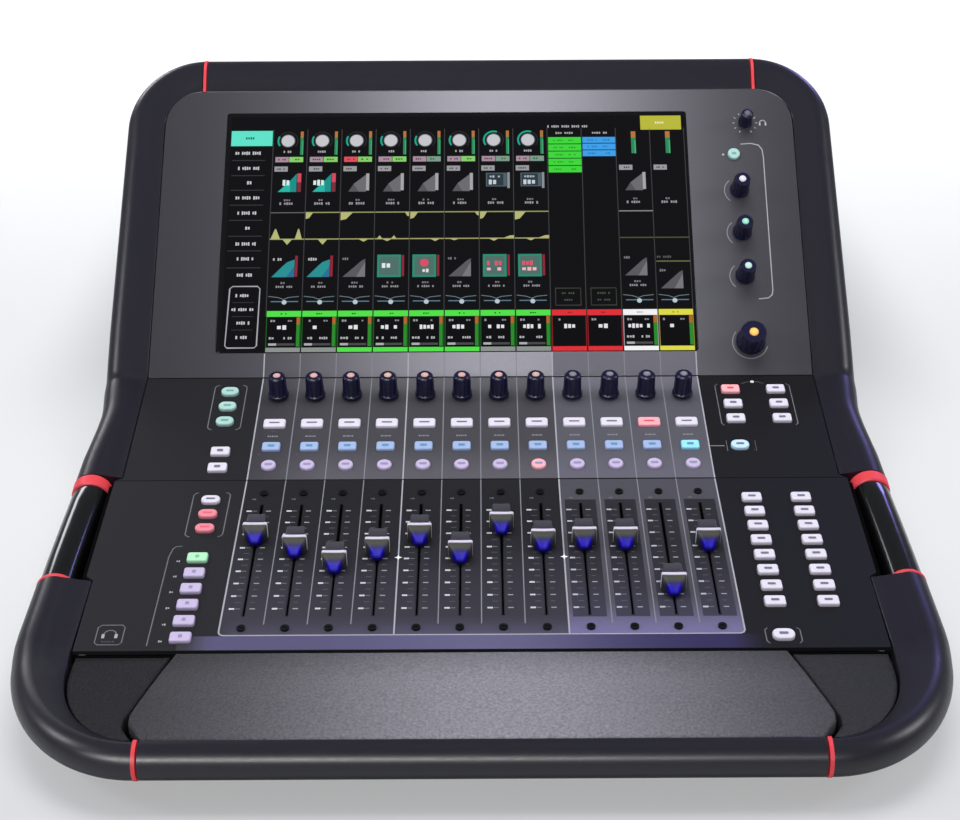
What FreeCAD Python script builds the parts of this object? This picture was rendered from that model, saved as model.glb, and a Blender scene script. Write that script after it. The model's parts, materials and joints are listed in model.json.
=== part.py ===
import FreeCAD, Part
import Sketcher
import math
import os
from FreeCAD import Vector, Placement, Rotation

# Mixing console: a wedge-shaped desktop console with a touch screen, twelve
# motor faders, seventeen rotary encoders and a tubular frame moulding.
# Millimetres, +Z up, +Y away from the user, origin under the middle of the
# bounding box on the table.
#
# The top is three sloping panels. Each has its own frame, with the origin at
# the middle of its front edge: x across, "up" along the slope away from the
# user, and "out" square to the panel face.

os.makedirs("parts", exist_ok=True)
doc = FreeCAD.newDocument("mixing_console")
sheet = doc.addObject("Spreadsheet::Sheet", "dims")

# ---------------------------------------------------------- driving dimensions
# alias, value or formula, note
DIMENSIONS = [
    ("strip_pitch", 27.0, "distance between two channel strips"),
    ("strip_count", 12, "channel strips"),
    ("strip_first", -148.5, "x of the first strip"),
    ("fader_travel", 100.0, "travel of a motor fader"),
    ("fader_low", 38.8, "lever position at the bottom of the travel"),
    ("fader_y", -209.8, "front edge of the fader panel, y"),
    ("fader_z", 36.9, "front edge of the fader panel, z"),
    ("fader_angle", 7.2, "slope of the fader panel"),
    ("fader_len", 173.9, "length of the fader panel up the slope"),
    ("control_angle", 11.4, "slope of the key and knob panel"),
    ("control_len", 116.8, "length of the key and knob panel"),
    ("screen_angle", 42.6, "slope of the screen panel"),
    ("screen_len", 246.6, "length of the screen panel"),
    ("panel_thick", 3.0, "thickness of the three top panels"),
    ("tube_r", 13.0, "radius of the frame tube"),
    ("tube_w", -9.2, "tube centre, out from the panel face"),
    ("pan_bottom", 6.0, "underside of the base pan"),
    ("pan_half", 244.0, "half width of the base pan"),
    ("wall", 2.0, "sheet thickness of the base pan"),
    ("rear_y", 307.85, "inner face of the rear cover"),
    ("foot_r", 11.0, "radius of a foot"),
    ("key_gap", 0.45, "gap around a key in its opening"),
    ("knob_r", 7.5, "foot radius of a channel knob"),
    ("knob_h", 18.5, "height of a channel knob above its underside"),
    ("shaft_r", 3.0, "radius of an encoder shaft"),
    ("lever_w", 1.4, "thickness of a fader lever"),
    ("slot_w", 3.2, "width of a fader slot"),
    ("cap_w", 16.0, "width of a fader cap"),
    ("cap_l", 25.0, "length of a fader cap"),
    ("cap_h", 12.0, "height of a fader cap"),
    ("handle_r", 12.5, "radius of the side grip"),
    ("control_y", "=fader_y + fader_len * cos(fader_angle)", "front edge of the key panel, y"),
    ("control_z", "=fader_z + fader_len * sin(fader_angle)", "front edge of the key panel, z"),
    ("screen_y", "=control_y + control_len * cos(control_angle)", "front edge of the screen, y"),
    ("screen_z", "=control_z + control_len * sin(control_angle)", "front edge of the screen, z"),
]
for row, (alias, content, note) in enumerate(DIMENSIONS, start=1):
    sheet.set("A%d" % row, note)
    sheet.set("B%d" % row, str(content))
    sheet.setAlias("B%d" % row, alias)
doc.recompute()


class Quantity:
    """A number that remembers the sheet expression it came from."""

    def __init__(self, value, expr=None):
        self.value = float(value)
        self.expr = expr

    @staticmethod
    def of(other):
        return other if isinstance(other, Quantity) else Quantity(other)

    def text(self):
        return self.expr if self.expr else "(%.6f)" % self.value

    def combine(self, other, sign, value):
        if not self.expr and not other.expr:
            return Quantity(value)
        return Quantity(value, "(%s %s %s)" % (self.text(), sign, other.text()))

    def __add__(self, other):
        other = Quantity.of(other)
        return self.combine(other, "+", self.value + other.value)

    def __sub__(self, other):
        other = Quantity.of(other)
        return self.combine(other, "-", self.value - other.value)

    def __mul__(self, other):
        other = Quantity.of(other)
        return self.combine(other, "*", self.value * other.value)

    def __truediv__(self, other):
        other = Quantity.of(other)
        return self.combine(other, "/", self.value / other.value)

    def __radd__(self, other):
        return Quantity.of(other) + self

    def __rsub__(self, other):
        return Quantity.of(other) - self

    def __rmul__(self, other):
        return Quantity.of(other) * self

    def __neg__(self):
        return Quantity(0) - self


def dim(alias):
    return Quantity(getattr(sheet, alias), "dims." + alias)


PITCH = dim("strip_pitch")
FIRST = dim("strip_first")
STRIPS = dim("strip_count")
PANEL_THICK = dim("panel_thick")
PANEL_CUT = PANEL_THICK + 1             # depth of a cut right through a panel
SHAFT_R = dim("shaft_r")
WALL = dim("wall")
PAN_BOTTOM = dim("pan_bottom")
PAN_HALF = dim("pan_half")
REAR_Y = dim("rear_y")
STRIP_X = [FIRST.value + PITCH.value * i for i in range(int(STRIPS.value))]

# ---------------------------------------------------------------- panel frames
FADER, CONTROL, SCREEN = "fader", "control", "screen"
X_DIR = Vector(1, 0, 0)
Y_DIR = Vector(0, 1, 0)
Z_DIR = Vector(0, 0, 1)


def panel_origin(panel):
    return Vector(0, dim(panel + "_y").value, dim(panel + "_z").value)


def panel_angle(panel):
    return dim(panel + "_angle").value


def panel_up(panel):
    angle = math.radians(panel_angle(panel))
    return Vector(0, math.cos(angle), math.sin(angle))


def panel_out(panel):
    angle = math.radians(panel_angle(panel))
    return Vector(0, -math.sin(angle), math.cos(angle))


def panel_point(panel, x, up, out):
    """World position of a point given in a panel frame."""
    return panel_origin(panel) + Vector(x, 0, 0) + panel_up(panel) * up + panel_out(panel) * out


# ------------------------------------------------------- documents and sketches
NODES = []


def add_node(name, obj):
    obj.Label = name
    NODES.append((name, obj))
    return obj


def add_shape(name, shape):
    obj = doc.addObject("Part::Feature", name)
    obj.Shape = shape
    add_node(name, obj)


def new_body(name, panel=None, x=0, up=0):
    """A body in the world frame, or bound to a point of a panel frame."""
    body = doc.addObject("PartDesign::Body", name)
    body.AllowCompound = True
    if panel:
        body.setExpression(
            "Placement",
            "placement(vector(0; dims.%s_y; dims.%s_z);"
            " rotation(vector(1; 0; 0); dims.%s_angle))"
            " * placement(vector(%.5f; %.5f; 0); rotation(vector(1; 0; 0); 0))"
            % (panel, panel, panel, x, up))
    return add_node(name, body)


def datum(body, role):
    for feature in body.Origin.OriginFeatures:
        if feature.Role == role:
            return feature


feature_count = 0


def new_feature(body, kind, suffix):
    global feature_count
    feature_count += 1
    return body.newObject(kind, "%s_%s%d" % (body.Name, suffix, feature_count))


def new_sketch(body, plane="XY_Plane", offset=0):
    sketch = new_feature(body, "Sketcher::SketchObject", "sk")
    sketch.AttachmentSupport = [(datum(body, plane), "")]
    sketch.MapMode = "FlatFace"
    offset = Quantity.of(offset)
    if offset.value or offset.expr:
        sketch.AttachmentOffset = Placement(Vector(0, 0, offset.value), Rotation())
        if offset.expr:
            sketch.setExpression("AttachmentOffset.Base.z", offset.expr)
    return sketch


def constrain(sketch, size, kind, *target):
    size = Quantity.of(size)
    index = sketch.addConstraint(Sketcher.Constraint(kind, *target, size.value))
    if size.expr:
        sketch.setExpression("Constraints[%d]" % index, size.expr)


def fix_point(sketch, geometry, vertex, x, y):
    constrain(sketch, x, "DistanceX", -1, 1, geometry, vertex)
    constrain(sketch, y, "DistanceY", -1, 1, geometry, vertex)


# The drawing functions return the sketch, so that they can be passed on.
def polygon(sketch, points):
    points = [(Quantity.of(x), Quantity.of(y)) for x, y in points]
    corners = [Vector(x.value, y.value, 0) for x, y in points]
    count = len(points)
    lines = [sketch.addGeometry(Part.LineSegment(corners[i], corners[(i + 1) % count]), False)
             for i in range(count)]
    for i in range(count):
        sketch.addConstraint(
            Sketcher.Constraint("Coincident", lines[i], 2, lines[(i + 1) % count], 1))
        fix_point(sketch, lines[i], 1, *points[i])
    return sketch


def rectangle(sketch, x0, y0, x1, y1):
    return polygon(sketch, [(x0, y0), (x1, y0), (x1, y1), (x0, y1)])


def circle(sketch, x, y, radius):
    centre = Vector(Quantity.of(x).value, Quantity.of(y).value, 0)
    geometry = sketch.addGeometry(
        Part.Circle(centre, Z_DIR, Quantity.of(radius).value), False)
    fix_point(sketch, geometry, 3, x, y)
    constrain(sketch, radius, "Radius", geometry)
    return sketch


def rounded_rect(sketch, x, y, width, height, radius):
    """Rounded rectangle about (x, y), fully constrained."""
    x, y, width, height, radius = [Quantity.of(v) for v in (x, y, width, height, radius)]
    right, left = x + width / 2 - radius, x - width / 2 + radius
    top, low = y + height / 2 - radius, y - height / 2 + radius
    centres = [(right, top, 0), (left, top, 90), (left, low, 180), (right, low, 270)]
    arcs = []
    for cx, cy, start in centres:
        full = Part.Circle(Vector(cx.value, cy.value, 0), Z_DIR, radius.value)
        arc = Part.ArcOfCircle(full, math.radians(start), math.radians(start + 90))
        arcs.append(sketch.addGeometry(arc, False))
    lines = []
    for i, (cx, cy, start) in enumerate(centres):
        next_x, next_y, _ = centres[(i + 1) % 4]
        turn = math.radians(start + 90)
        reach = Vector(radius.value * math.cos(turn), radius.value * math.sin(turn), 0)
        line = Part.LineSegment(Vector(cx.value, cy.value, 0) + reach,
                                Vector(next_x.value, next_y.value, 0) + reach)
        lines.append(sketch.addGeometry(line, False))
    for i in range(4):
        sketch.addConstraint(Sketcher.Constraint("Tangent", arcs[i], 2, lines[i], 1))
        sketch.addConstraint(Sketcher.Constraint("Tangent", lines[i], 2, arcs[(i + 1) % 4], 1))
    for arc, (cx, cy, _) in zip(arcs, centres):
        fix_point(sketch, arc, 3, cx, cy)
        constrain(sketch, radius, "Radius", arc)
    return sketch


# ------------------------------------------------------------- solid features
def bind(obj, prop, size):
    size = Quantity.of(size)
    setattr(obj, prop, size.value)
    if size.expr:
        obj.setExpression(prop, size.expr)


def extrusion(feature, body, profile, length, reverse, symmetric):
    feature.Profile = profile
    bind(feature, "Length", length)
    if symmetric:
        feature.SideType = "Symmetric"
    feature.Reversed = reverse
    body.Tip = feature
    return feature


def pad(body, profile, length, reverse=False, symmetric=False):
    """Adds material along the sketch normal."""
    feature = new_feature(body, "PartDesign::Pad", "pad")
    return extrusion(feature, body, profile, length, reverse, symmetric)


def pocket(body, profile, length, reverse=False, symmetric=False):
    """Removes material against the sketch normal."""
    feature = new_feature(body, "PartDesign::Pocket", "cut")
    return extrusion(feature, body, profile, length, reverse, symmetric)


def repeat(body, features, step, count, axis="X"):
    """Repeats features at a fixed step along a body axis."""
    count = Quantity.of(count)
    if count.value == 1:
        return
    pattern = new_feature(body, "PartDesign::LinearPattern", "row")
    pattern.Originals = features
    pattern.Direction = (datum(body, axis + "_Axis"), [""])
    pattern.Mode = "Spacing"
    pattern.Occurrences = int(count.value)
    if count.expr:
        pattern.setExpression("Occurrences", count.expr)
    bind(pattern, "Offset", step)
    body.Tip = pattern


def revolve(body, profile):
    feature = new_feature(body, "PartDesign::Revolution", "rev")
    feature.Profile = profile
    feature.ReferenceAxis = (datum(body, "Z_Axis"), [""])
    feature.Angle = 360
    body.Tip = feature


# -------------------------------------------------- keys, knobs and cap places
# Rows of keys: x and up of the first key, size, count, step, axis of the row.
# A size is (width, height, corner radius), or (radius,) for a round key.
SQUARE = (13.5, 9.0, 1.8)
KEYS = {
    "mute_keys": (CONTROL, [(FIRST, 61.0, (16.0, 9.5, 2.0), STRIPS, PITCH, "X")]),
    "select_keys": (CONTROL, [(FIRST, 35.0, (13.0, 9.0, 1.8), STRIPS, PITCH, "X")]),
    "left_control_keys": (CONTROL, [(-184.8, 64.3, (13.0, 9.5, 4.5), 3, 17.4, "Y"),
                                    (-184.0, 12.7, SQUARE, 2, 17.5, "Y")]),
    "right_control_keys": (CONTROL, [(184.6, 65.0, SQUARE, 3, 17.15, "Y"),
                                     (218.0, 65.0, SQUARE, 3, 17.15, "Y"),
                                     (183.8, 34.8, (13.0, 9.5, 4.5), 1, 0, "Y")]),
    "left_fader_keys": (FADER, [(-184.0, 119.5, (13.0, 8.5, 4.0), 3, 15.5, "Y"),
                                (-184.6, 11.5, SQUARE, 6, 15.42, "Y")]),
    "right_fader_keys": (FADER, [(184.3, 42.8, SQUARE, 8, 15.4, "Y"),
                                 (217.8, 42.8, SQUARE, 8, 15.4, "Y"),
                                 (185.0, 11.6, (14.0, 9.5, 4.5), 1, 0, "Y")]),
    "pafl_keys": (CONTROL, [(FIRST, 14.6, (5.25,), STRIPS, PITCH, "X")]),
    "talk_key": (SCREEN, [(200.0, 186.8, (4.8,), 1, 0, "X")]),
}
KEY_UNDER = -8.0
KEY_HEIGHT = 10.3
FLANGE_UNDER = -5.6
FLANGE_THICK = 1.8
FLANGE_LEDGE = 1.2
FLANGE_CORNER = 0.8                     # added to the corner radius of the key

# Knobs of the screen panel: name, x, up, foot radius, top radius, height
SCREEN_KNOBS = [
    ("phones_knob", 210.5, 215.0, 5.6, 4.7, 14.0),
    ("soft_knob_1", 202.5, 155.0, 7.5, 6.3, 18.5),
    ("soft_knob_2", 202.5, 118.5, 7.5, 6.3, 18.5),
    ("soft_knob_3", 202.5, 81.5, 7.5, 6.3, 18.5),
    ("main_knob", 203.3, 27.0, 11.0, 9.6, 19.0),
]
CHANNEL_KNOB_UP = 94.0
CHANNEL_KNOB_TOP_R = 6.2
SHAFT_HOLE_R = SHAFT_R + 1.5

FADER_MIDDLE = dim("fader_low") + dim("fader_travel") / 2
SCREWS_UP = (20, 158)                   # screws at both ends of every fader
# Up position of the fader caps, from the first strip on
CAP_UP = [108.8, 95.6, 79.4, 93.0, 107.5, 89.0, 118.8, 100.5, 102.4, 102.1, 55.7, 100.6]


def key_outline(sketch, x, up, size, margin=0, corner_margin=0):
    """Outline of a key, widened all round by a margin."""
    if len(size) == 1:
        return circle(sketch, x, up, margin + size[0])
    width, height, corner = size
    return rounded_rect(sketch, x, up, margin * 2 + width, margin * 2 + height,
                        corner_margin + corner)


def screw_circles(sketch, radius):
    for up in SCREWS_UP:
        circle(sketch, FIRST, up, radius)
    return sketch


# ------------------------------------------------------------------ the panels
def key_openings(body, on_panel):
    gap = dim("key_gap")
    for panel, rows in KEYS.values():
        if panel != on_panel:
            continue
        for x, up, size, count, step, axis in rows:
            outline = key_outline(new_sketch(body), x, up, size, gap, gap)
            repeat(body, [pocket(body, outline, PANEL_CUT)], step, count, axis)


def fader_panel():
    """Narrow between the armrest corners, wider from the lower collars up."""
    narrow, wide = 248.6, 253.6
    step_front, step_rear = 67.4, 71.4
    rear = dim("fader_len") - 0.3
    body = new_body("fader_panel", FADER)
    outline = polygon(new_sketch(body), [
        (-narrow, 0.6), (narrow, 0.6), (narrow, step_front), (wide, step_rear), (wide, rear),
        (-wide, rear), (-wide, step_rear), (-narrow, step_front)])
    pad(body, outline, PANEL_THICK, reverse=True)
    width = dim("slot_w")
    slot = rounded_rect(new_sketch(body), FIRST, FADER_MIDDLE + 0.2, width,
                        dim("fader_travel") + 14, width / 2 - 0.01)
    slot_cut = pocket(body, slot, PANEL_CUT)
    screw_cut = pocket(body, screw_circles(new_sketch(body), 1.75), PANEL_CUT)
    repeat(body, [slot_cut, screw_cut], PITCH, STRIPS)
    key_openings(body, FADER)


def control_panel():
    """Key and knob panel, widened at its front edge."""
    half, front_half = 248.1, 253.2
    rear = dim("control_len") - 0.3
    body = new_body("control_panel", CONTROL)
    outline = polygon(new_sketch(body), [
        (-front_half, 0.3), (front_half, 0.3), (half, 2.9), (half, rear),
        (-half, rear), (-half, 2.9)])
    pad(body, outline, PANEL_THICK, reverse=True)
    hole = circle(new_sketch(body), FIRST, CHANNEL_KNOB_UP, SHAFT_HOLE_R)
    repeat(body, [pocket(body, hole, PANEL_CUT)], PITCH, STRIPS)
    key_openings(body, CONTROL)


# Rounded rectangles of the screen: x, up, width, height, corner radius
GLASS = (-17.65, 123.0, 363.3, 205.3, 2.3)
GLASS_GAP = 0.3
WINDOW_CENTRE = (-16.5, 122.25)


def screen_panel():
    half, bend = 248.0, 30.0
    length = dim("screen_len")
    body = new_body("screen_panel", SCREEN)
    # the upper corners follow the inner bend of the corner mouldings
    arc = []
    for k in range(7):
        turn = math.radians(15 * k)
        arc.append((half - bend + bend * math.cos(turn), length - bend + bend * math.sin(turn)))
    outline = [(-half, 0.5), (half, 0.5)] + arc + [(-x, y) for x, y in reversed(arc)]
    pad(body, polygon(new_sketch(body), outline), PANEL_THICK, reverse=True)
    x, up, width, height, corner = GLASS
    recess = rounded_rect(new_sketch(body), x, up, width + 2 * GLASS_GAP,
                          height + 2 * GLASS_GAP, corner + GLASS_GAP)
    pocket(body, recess, 1.3)
    window = rounded_rect(new_sketch(body), *WINDOW_CENTRE, 357.0, 201.5, 1.5)
    pocket(body, window, PANEL_CUT)
    holes = new_sketch(body)
    for _, x, up, *_ in SCREEN_KNOBS:
        circle(holes, x, up, SHAFT_HOLE_R)
    pocket(body, holes, PANEL_CUT)
    key_openings(body, SCREEN)


def touch_glass():
    body = new_body("touch_glass", SCREEN)
    pad(body, rounded_rect(new_sketch(body, offset=-1.2), *GLASS), 1.6)


def display_module():
    """Housing behind the panel with a raised face in the window."""
    body = new_body("display_module", SCREEN)
    housing = rounded_rect(new_sketch(body, offset=-12.0), *WINDOW_CENTRE, 368.0, 212.0, 3.0)
    pad(body, housing, 8.4)
    face = rounded_rect(new_sketch(body, offset=-3.7), *WINDOW_CENTRE, 355.5, 200.0, 1.0)
    pad(body, face, 2.2)


fader_panel()
control_panel()
screen_panel()
touch_glass()
display_module()


# -------------------------------------------------------------- keys and knobs
def key_group(name):
    """Keys with a flange under the panel."""
    panel, rows = KEYS[name]
    body = new_body(name, panel)
    for x, up, size, count, step, axis in rows:
        outline = key_outline(new_sketch(body, offset=KEY_UNDER), x, up, size)
        key = pad(body, outline, KEY_HEIGHT)
        outline = key_outline(new_sketch(body, offset=FLANGE_UNDER), x, up, size,
                              FLANGE_LEDGE, FLANGE_CORNER)
        flange = pad(body, outline, FLANGE_THICK)
        repeat(body, [key, flange], step, count, axis)


def knob(name, panel, x, up, foot_r, top_r, height):
    """Hollow knob on its encoder shaft, turning about the panel normal."""
    under = 1.5                         # gap between panel and knob
    shaft_under = 8.6
    bore_r = SHAFT_R + 0.05
    top = under + height
    body = new_body(name, panel, x, up)
    # half profile as (radius, out)
    profile = polygon(new_sketch(body, "XZ_Plane"), [
        (bore_r, under + 1.2), (SHAFT_R + 2.0, under + 1.2), (SHAFT_R + 2.0, under),
        (foot_r, under), (foot_r, under + 2.2), (foot_r - 0.5, under + 3.0),
        (top_r, top - 1.8), (top_r - 0.9, top - 0.5), (top_r * 0.5, top + 0.1),
        (0, top + 0.3), (0, under + 11.2), (bore_r, under + 11.2)])
    revolve(body, profile)
    shaft = circle(new_sketch(body, offset=-shaft_under), 0, 0, SHAFT_R)
    pad(body, shaft, shaft_under + under + 11.0)


for name in KEYS:
    key_group(name)
for i, x in enumerate(STRIP_X):
    knob("channel_knob_%02d" % (i + 1), CONTROL, x, CHANNEL_KNOB_UP,
         dim("knob_r"), CHANNEL_KNOB_TOP_R, dim("knob_h"))
for name, *values in SCREEN_KNOBS:
    knob(name, SCREEN, *values)


# -------------------------------------------------------- rotary encoder units
def encoder(panel, x, up):
    """Can with a bored bush and three pins, hanging under the panel."""
    can = Part.makeBox(12.4, 13.2, 6.0, Vector(-6.2, -6.6, -9.9))
    bush = Part.makeCylinder(4.1, 5.2, Vector(0, 0, -3.95))
    bore = Part.makeCylinder(3.4, 14, Vector(0, 0, -9.1))
    unit = can.fuse(bush).cut(bore)
    for pin_x in (-2.5, 0.0, 2.5):
        unit = unit.fuse(Part.makeBox(0.8, 0.5, 3.6, Vector(pin_x, -6.0, -13.45)))
    unit = unit.removeSplitter()
    unit.Placement = Placement(panel_point(panel, x, up, 0),
                               Rotation(X_DIR, panel_angle(panel)))
    return unit


add_shape("encoder_units", Part.makeCompound(
    [encoder(CONTROL, x, CHANNEL_KNOB_UP) for x in STRIP_X]
    + [encoder(SCREEN, x, up) for _, x, up, *_ in SCREEN_KNOBS]))


# ---------------------------------------------------------------------- faders
def fader_cap(name, x, up):
    """Cap, lever and carriage of one fader."""
    under = 1.6                         # gap between panel and cap
    half_width, half_length = dim("cap_w") / 2, dim("cap_l") / 2
    top = dim("cap_h") + under
    half_lever = dim("lever_w") / 2
    body = new_body(name, FADER, x, up)
    # scooped side profile, extruded over the width
    profile = polygon(new_sketch(body, "YZ_Plane"), [
        (-half_length, under), (half_length, under), (half_length, under + 5.0),
        (half_length - 1.6, top - 2.2), (half_length - 4.2, top - 2.0), (3.6, top - 1.2),
        (0.9, top), (-0.9, top), (-3.6, top - 2.4), (-half_length + 3.2, top - 5.0),
        (-half_length + 1.0, under + 4.4)])
    pad(body, profile, dim("cap_w"), symmetric=True)
    # socket for the lever
    socket = rectangle(new_sketch(body), -half_lever - 0.08, -3.08, half_lever + 0.08, 3.08)
    pocket(body, socket, under + 8.0, reverse=True)
    # the front half narrows towards the user
    sides = new_sketch(body)
    for side in (1, -1):
        polygon(sides, [(side * (half_width + 1), -half_length - 1),
                        (side * (half_width - 3.6), -half_length - 1),
                        (side * (half_width - 0.02), -2.0), (side * (half_width + 1), -2.0)])
    pocket(body, sides, 20, reverse=True)
    # lever blade and its carriage inside the fader unit
    lever = rectangle(new_sketch(body, offset=-11.0), -half_lever, -3.0, half_lever, 3.0)
    pad(body, lever, 11.0 + under + 7.9)
    carriage = rectangle(new_sketch(body, offset=-12.2), -3.6, -6.0, 3.6, 6.0)
    pad(body, carriage, 4.6)


def fader_units():
    """Housings under the panel, with fixing ears and drive motors."""
    body = new_body("fader_units", FADER)
    low_end = FADER_MIDDLE - dim("fader_travel") / 2
    high_end = FADER_MIDDLE + dim("fader_travel") / 2

    def strip_rect(sketch, half_width, beyond):
        """Rectangle about the travel, reaching beyond it at both ends."""
        return rectangle(sketch, FIRST - half_width, low_end - beyond,
                         FIRST + half_width, high_end + beyond)

    housing = pad(body, strip_rect(new_sketch(body, offset=-14.6), 6.6, 12.5), 11.2)
    inside = pocket(body, strip_rect(new_sketch(body, offset=-12.9), 4.6, 9.5), 7.6,
                    reverse=True)
    slot = pocket(body, strip_rect(new_sketch(body, offset=-6.0), 1.7, 9.5), 4.0,
                  reverse=True)
    # fixing ears at both ends
    ears = new_sketch(body, offset=-5.0)
    rectangle(ears, FIRST - 5.0, 15.5, FIRST + 5.0, low_end - 12.0)
    rectangle(ears, FIRST - 5.0, high_end + 12.0, FIRST + 5.0, 162.5)
    ear_pad = pad(body, ears, 1.5)
    ear_holes = pocket(body, screw_circles(new_sketch(body, offset=-3.0), 1.7), 3.0)
    repeat(body, [housing, inside, slot, ear_pad, ear_holes], PITCH, STRIPS)
    # drive motors, one under the rear end of every fader
    motor = circle(new_sketch(body, "XZ_Plane", offset=-127.0), FIRST, -24.9, 8.2)
    repeat(body, [pad(body, motor, 24.0, reverse=True)], PITCH, STRIPS)


def panel_screws():
    """Slotted screws that hold the fader units."""
    body = new_body("panel_screws", FADER)
    heads = pad(body, screw_circles(new_sketch(body, offset=0.05), 2.7), 1.3)
    shanks = pad(body, screw_circles(new_sketch(body, offset=-7.5), 1.45), 7.6)
    slots = new_sketch(body, offset=1.35)
    for up in SCREWS_UP:
        rectangle(slots, FIRST - 1.4, up - 0.35, FIRST + 1.4, up + 0.35)
    repeat(body, [heads, shanks, pocket(body, slots, 0.7)], PITCH, STRIPS)


for i, (x, up) in enumerate(zip(STRIP_X, CAP_UP)):
    fader_cap("fader_cap_%02d" % (i + 1), x, up)
fader_units()
panel_screws()

# -------------------------------------------------------------- circuit boards
BOARD_THICK = 1.6
BOARD_OUT = -10.2                       # outer face of the boards under keys and knobs
FADER_BOARD_OUT = -16.2                 # outer face of the board under the fader units
MAIN_BOARD_HOLES = ((-52, 133), (182, 133), (-52, 267), (182, 267))
# Chips on the main board: x, y, width, length
CHIPS = ((20, 190, 28, 28), (80, 200, 22, 22), (130, 165, 18, 26))


def panel_board(panel, x0, up0, x1, up1, out, knob_places=()):
    """Board parallel to a panel, with a slot for the pins of each encoder."""
    board = Part.makeBox(x1 - x0, up1 - up0, BOARD_THICK, Vector(x0, up0, out - BOARD_THICK))
    for x, up in knob_places:
        board = board.cut(Part.makeBox(7.0, 1.4, 8, Vector(x - 3.1, up - 6.45, -15)))
    board.Placement = Placement(panel_origin(panel), Rotation(X_DIR, panel_angle(panel)))
    return board


def circuit_boards():
    boards = [
        panel_board(CONTROL, -227, 5, 227, 111, BOARD_OUT,
                    [(x, CHANNEL_KNOB_UP) for x in STRIP_X]),
        panel_board(FADER, -227, 4, -171, 168, BOARD_OUT),
        panel_board(FADER, 171, 4, 227, 168, BOARD_OUT),
        panel_board(SCREEN, 176, 12, 240, 232, BOARD_OUT,
                    [(x, up) for _, x, up, *_ in SCREEN_KNOBS]),
        panel_board(FADER, -162, 24, 162, 120, FADER_BOARD_OUT),
    ]
    # level main board on four standoffs
    main_board = Part.makeBox(250, 150, BOARD_THICK, Vector(-60, 125, 22.0))
    for x, y in MAIN_BOARD_HOLES:
        main_board = main_board.cut(Part.makeCylinder(1.7, 6, Vector(x, y, 20)))
    boards.append(main_board)
    for x, y, width, length in CHIPS:
        boards.append(Part.makeBox(width, length, 2.4, Vector(x, y, 23.65)))
    for x, y in MAIN_BOARD_HOLES:
        foot = Vector(x, y, 8.2)
        boards.append(Part.makeCylinder(3.0, 13.6, foot).cut(Part.makeCylinder(1.2, 16, foot)))
    add_shape("circuit_boards", Part.makeCompound(boards))


def power_supply():
    """Block on the pan floor with eight grooves in its top."""
    bottom, height = 8.3, 38
    body = new_body("power_supply")
    pad(body, rectangle(new_sketch(body, offset=bottom), -225, 135, -95, 270), height)
    groove = rounded_rect(new_sketch(body, offset=bottom + height), -205, 160, 5, 30, 2.4)
    repeat(body, [pocket(body, groove, 1.2)], 12, 8)


circuit_boards()
power_supply()

# -------------------------------------------------------------------- base pan
CORNER_X, CORNER_Y = 194.5, -225.5      # centre of the right front corner arcs
RECESS_X = 231.0                        # inner side of the finger recesses
RECESS_FRONT, RECESS_REAR = -145.0, -31.0


def corner_arc(radius_x, radius_y, steps=9):
    """Points of the rounded right front corner, from the front to the side."""
    points = []
    for k in range(steps + 1):
        turn = math.radians(-90.0 + 90.0 * k / steps)
        points.append((CORNER_X + radius_x * math.cos(turn),
                       CORNER_Y + radius_y * math.sin(turn)))
    return points


def side_point(panel, up, out):
    """Point of a panel frame in the side view, as (y, z)."""
    point = panel_point(panel, 0, up, out)
    return (point.y, point.z)


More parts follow.
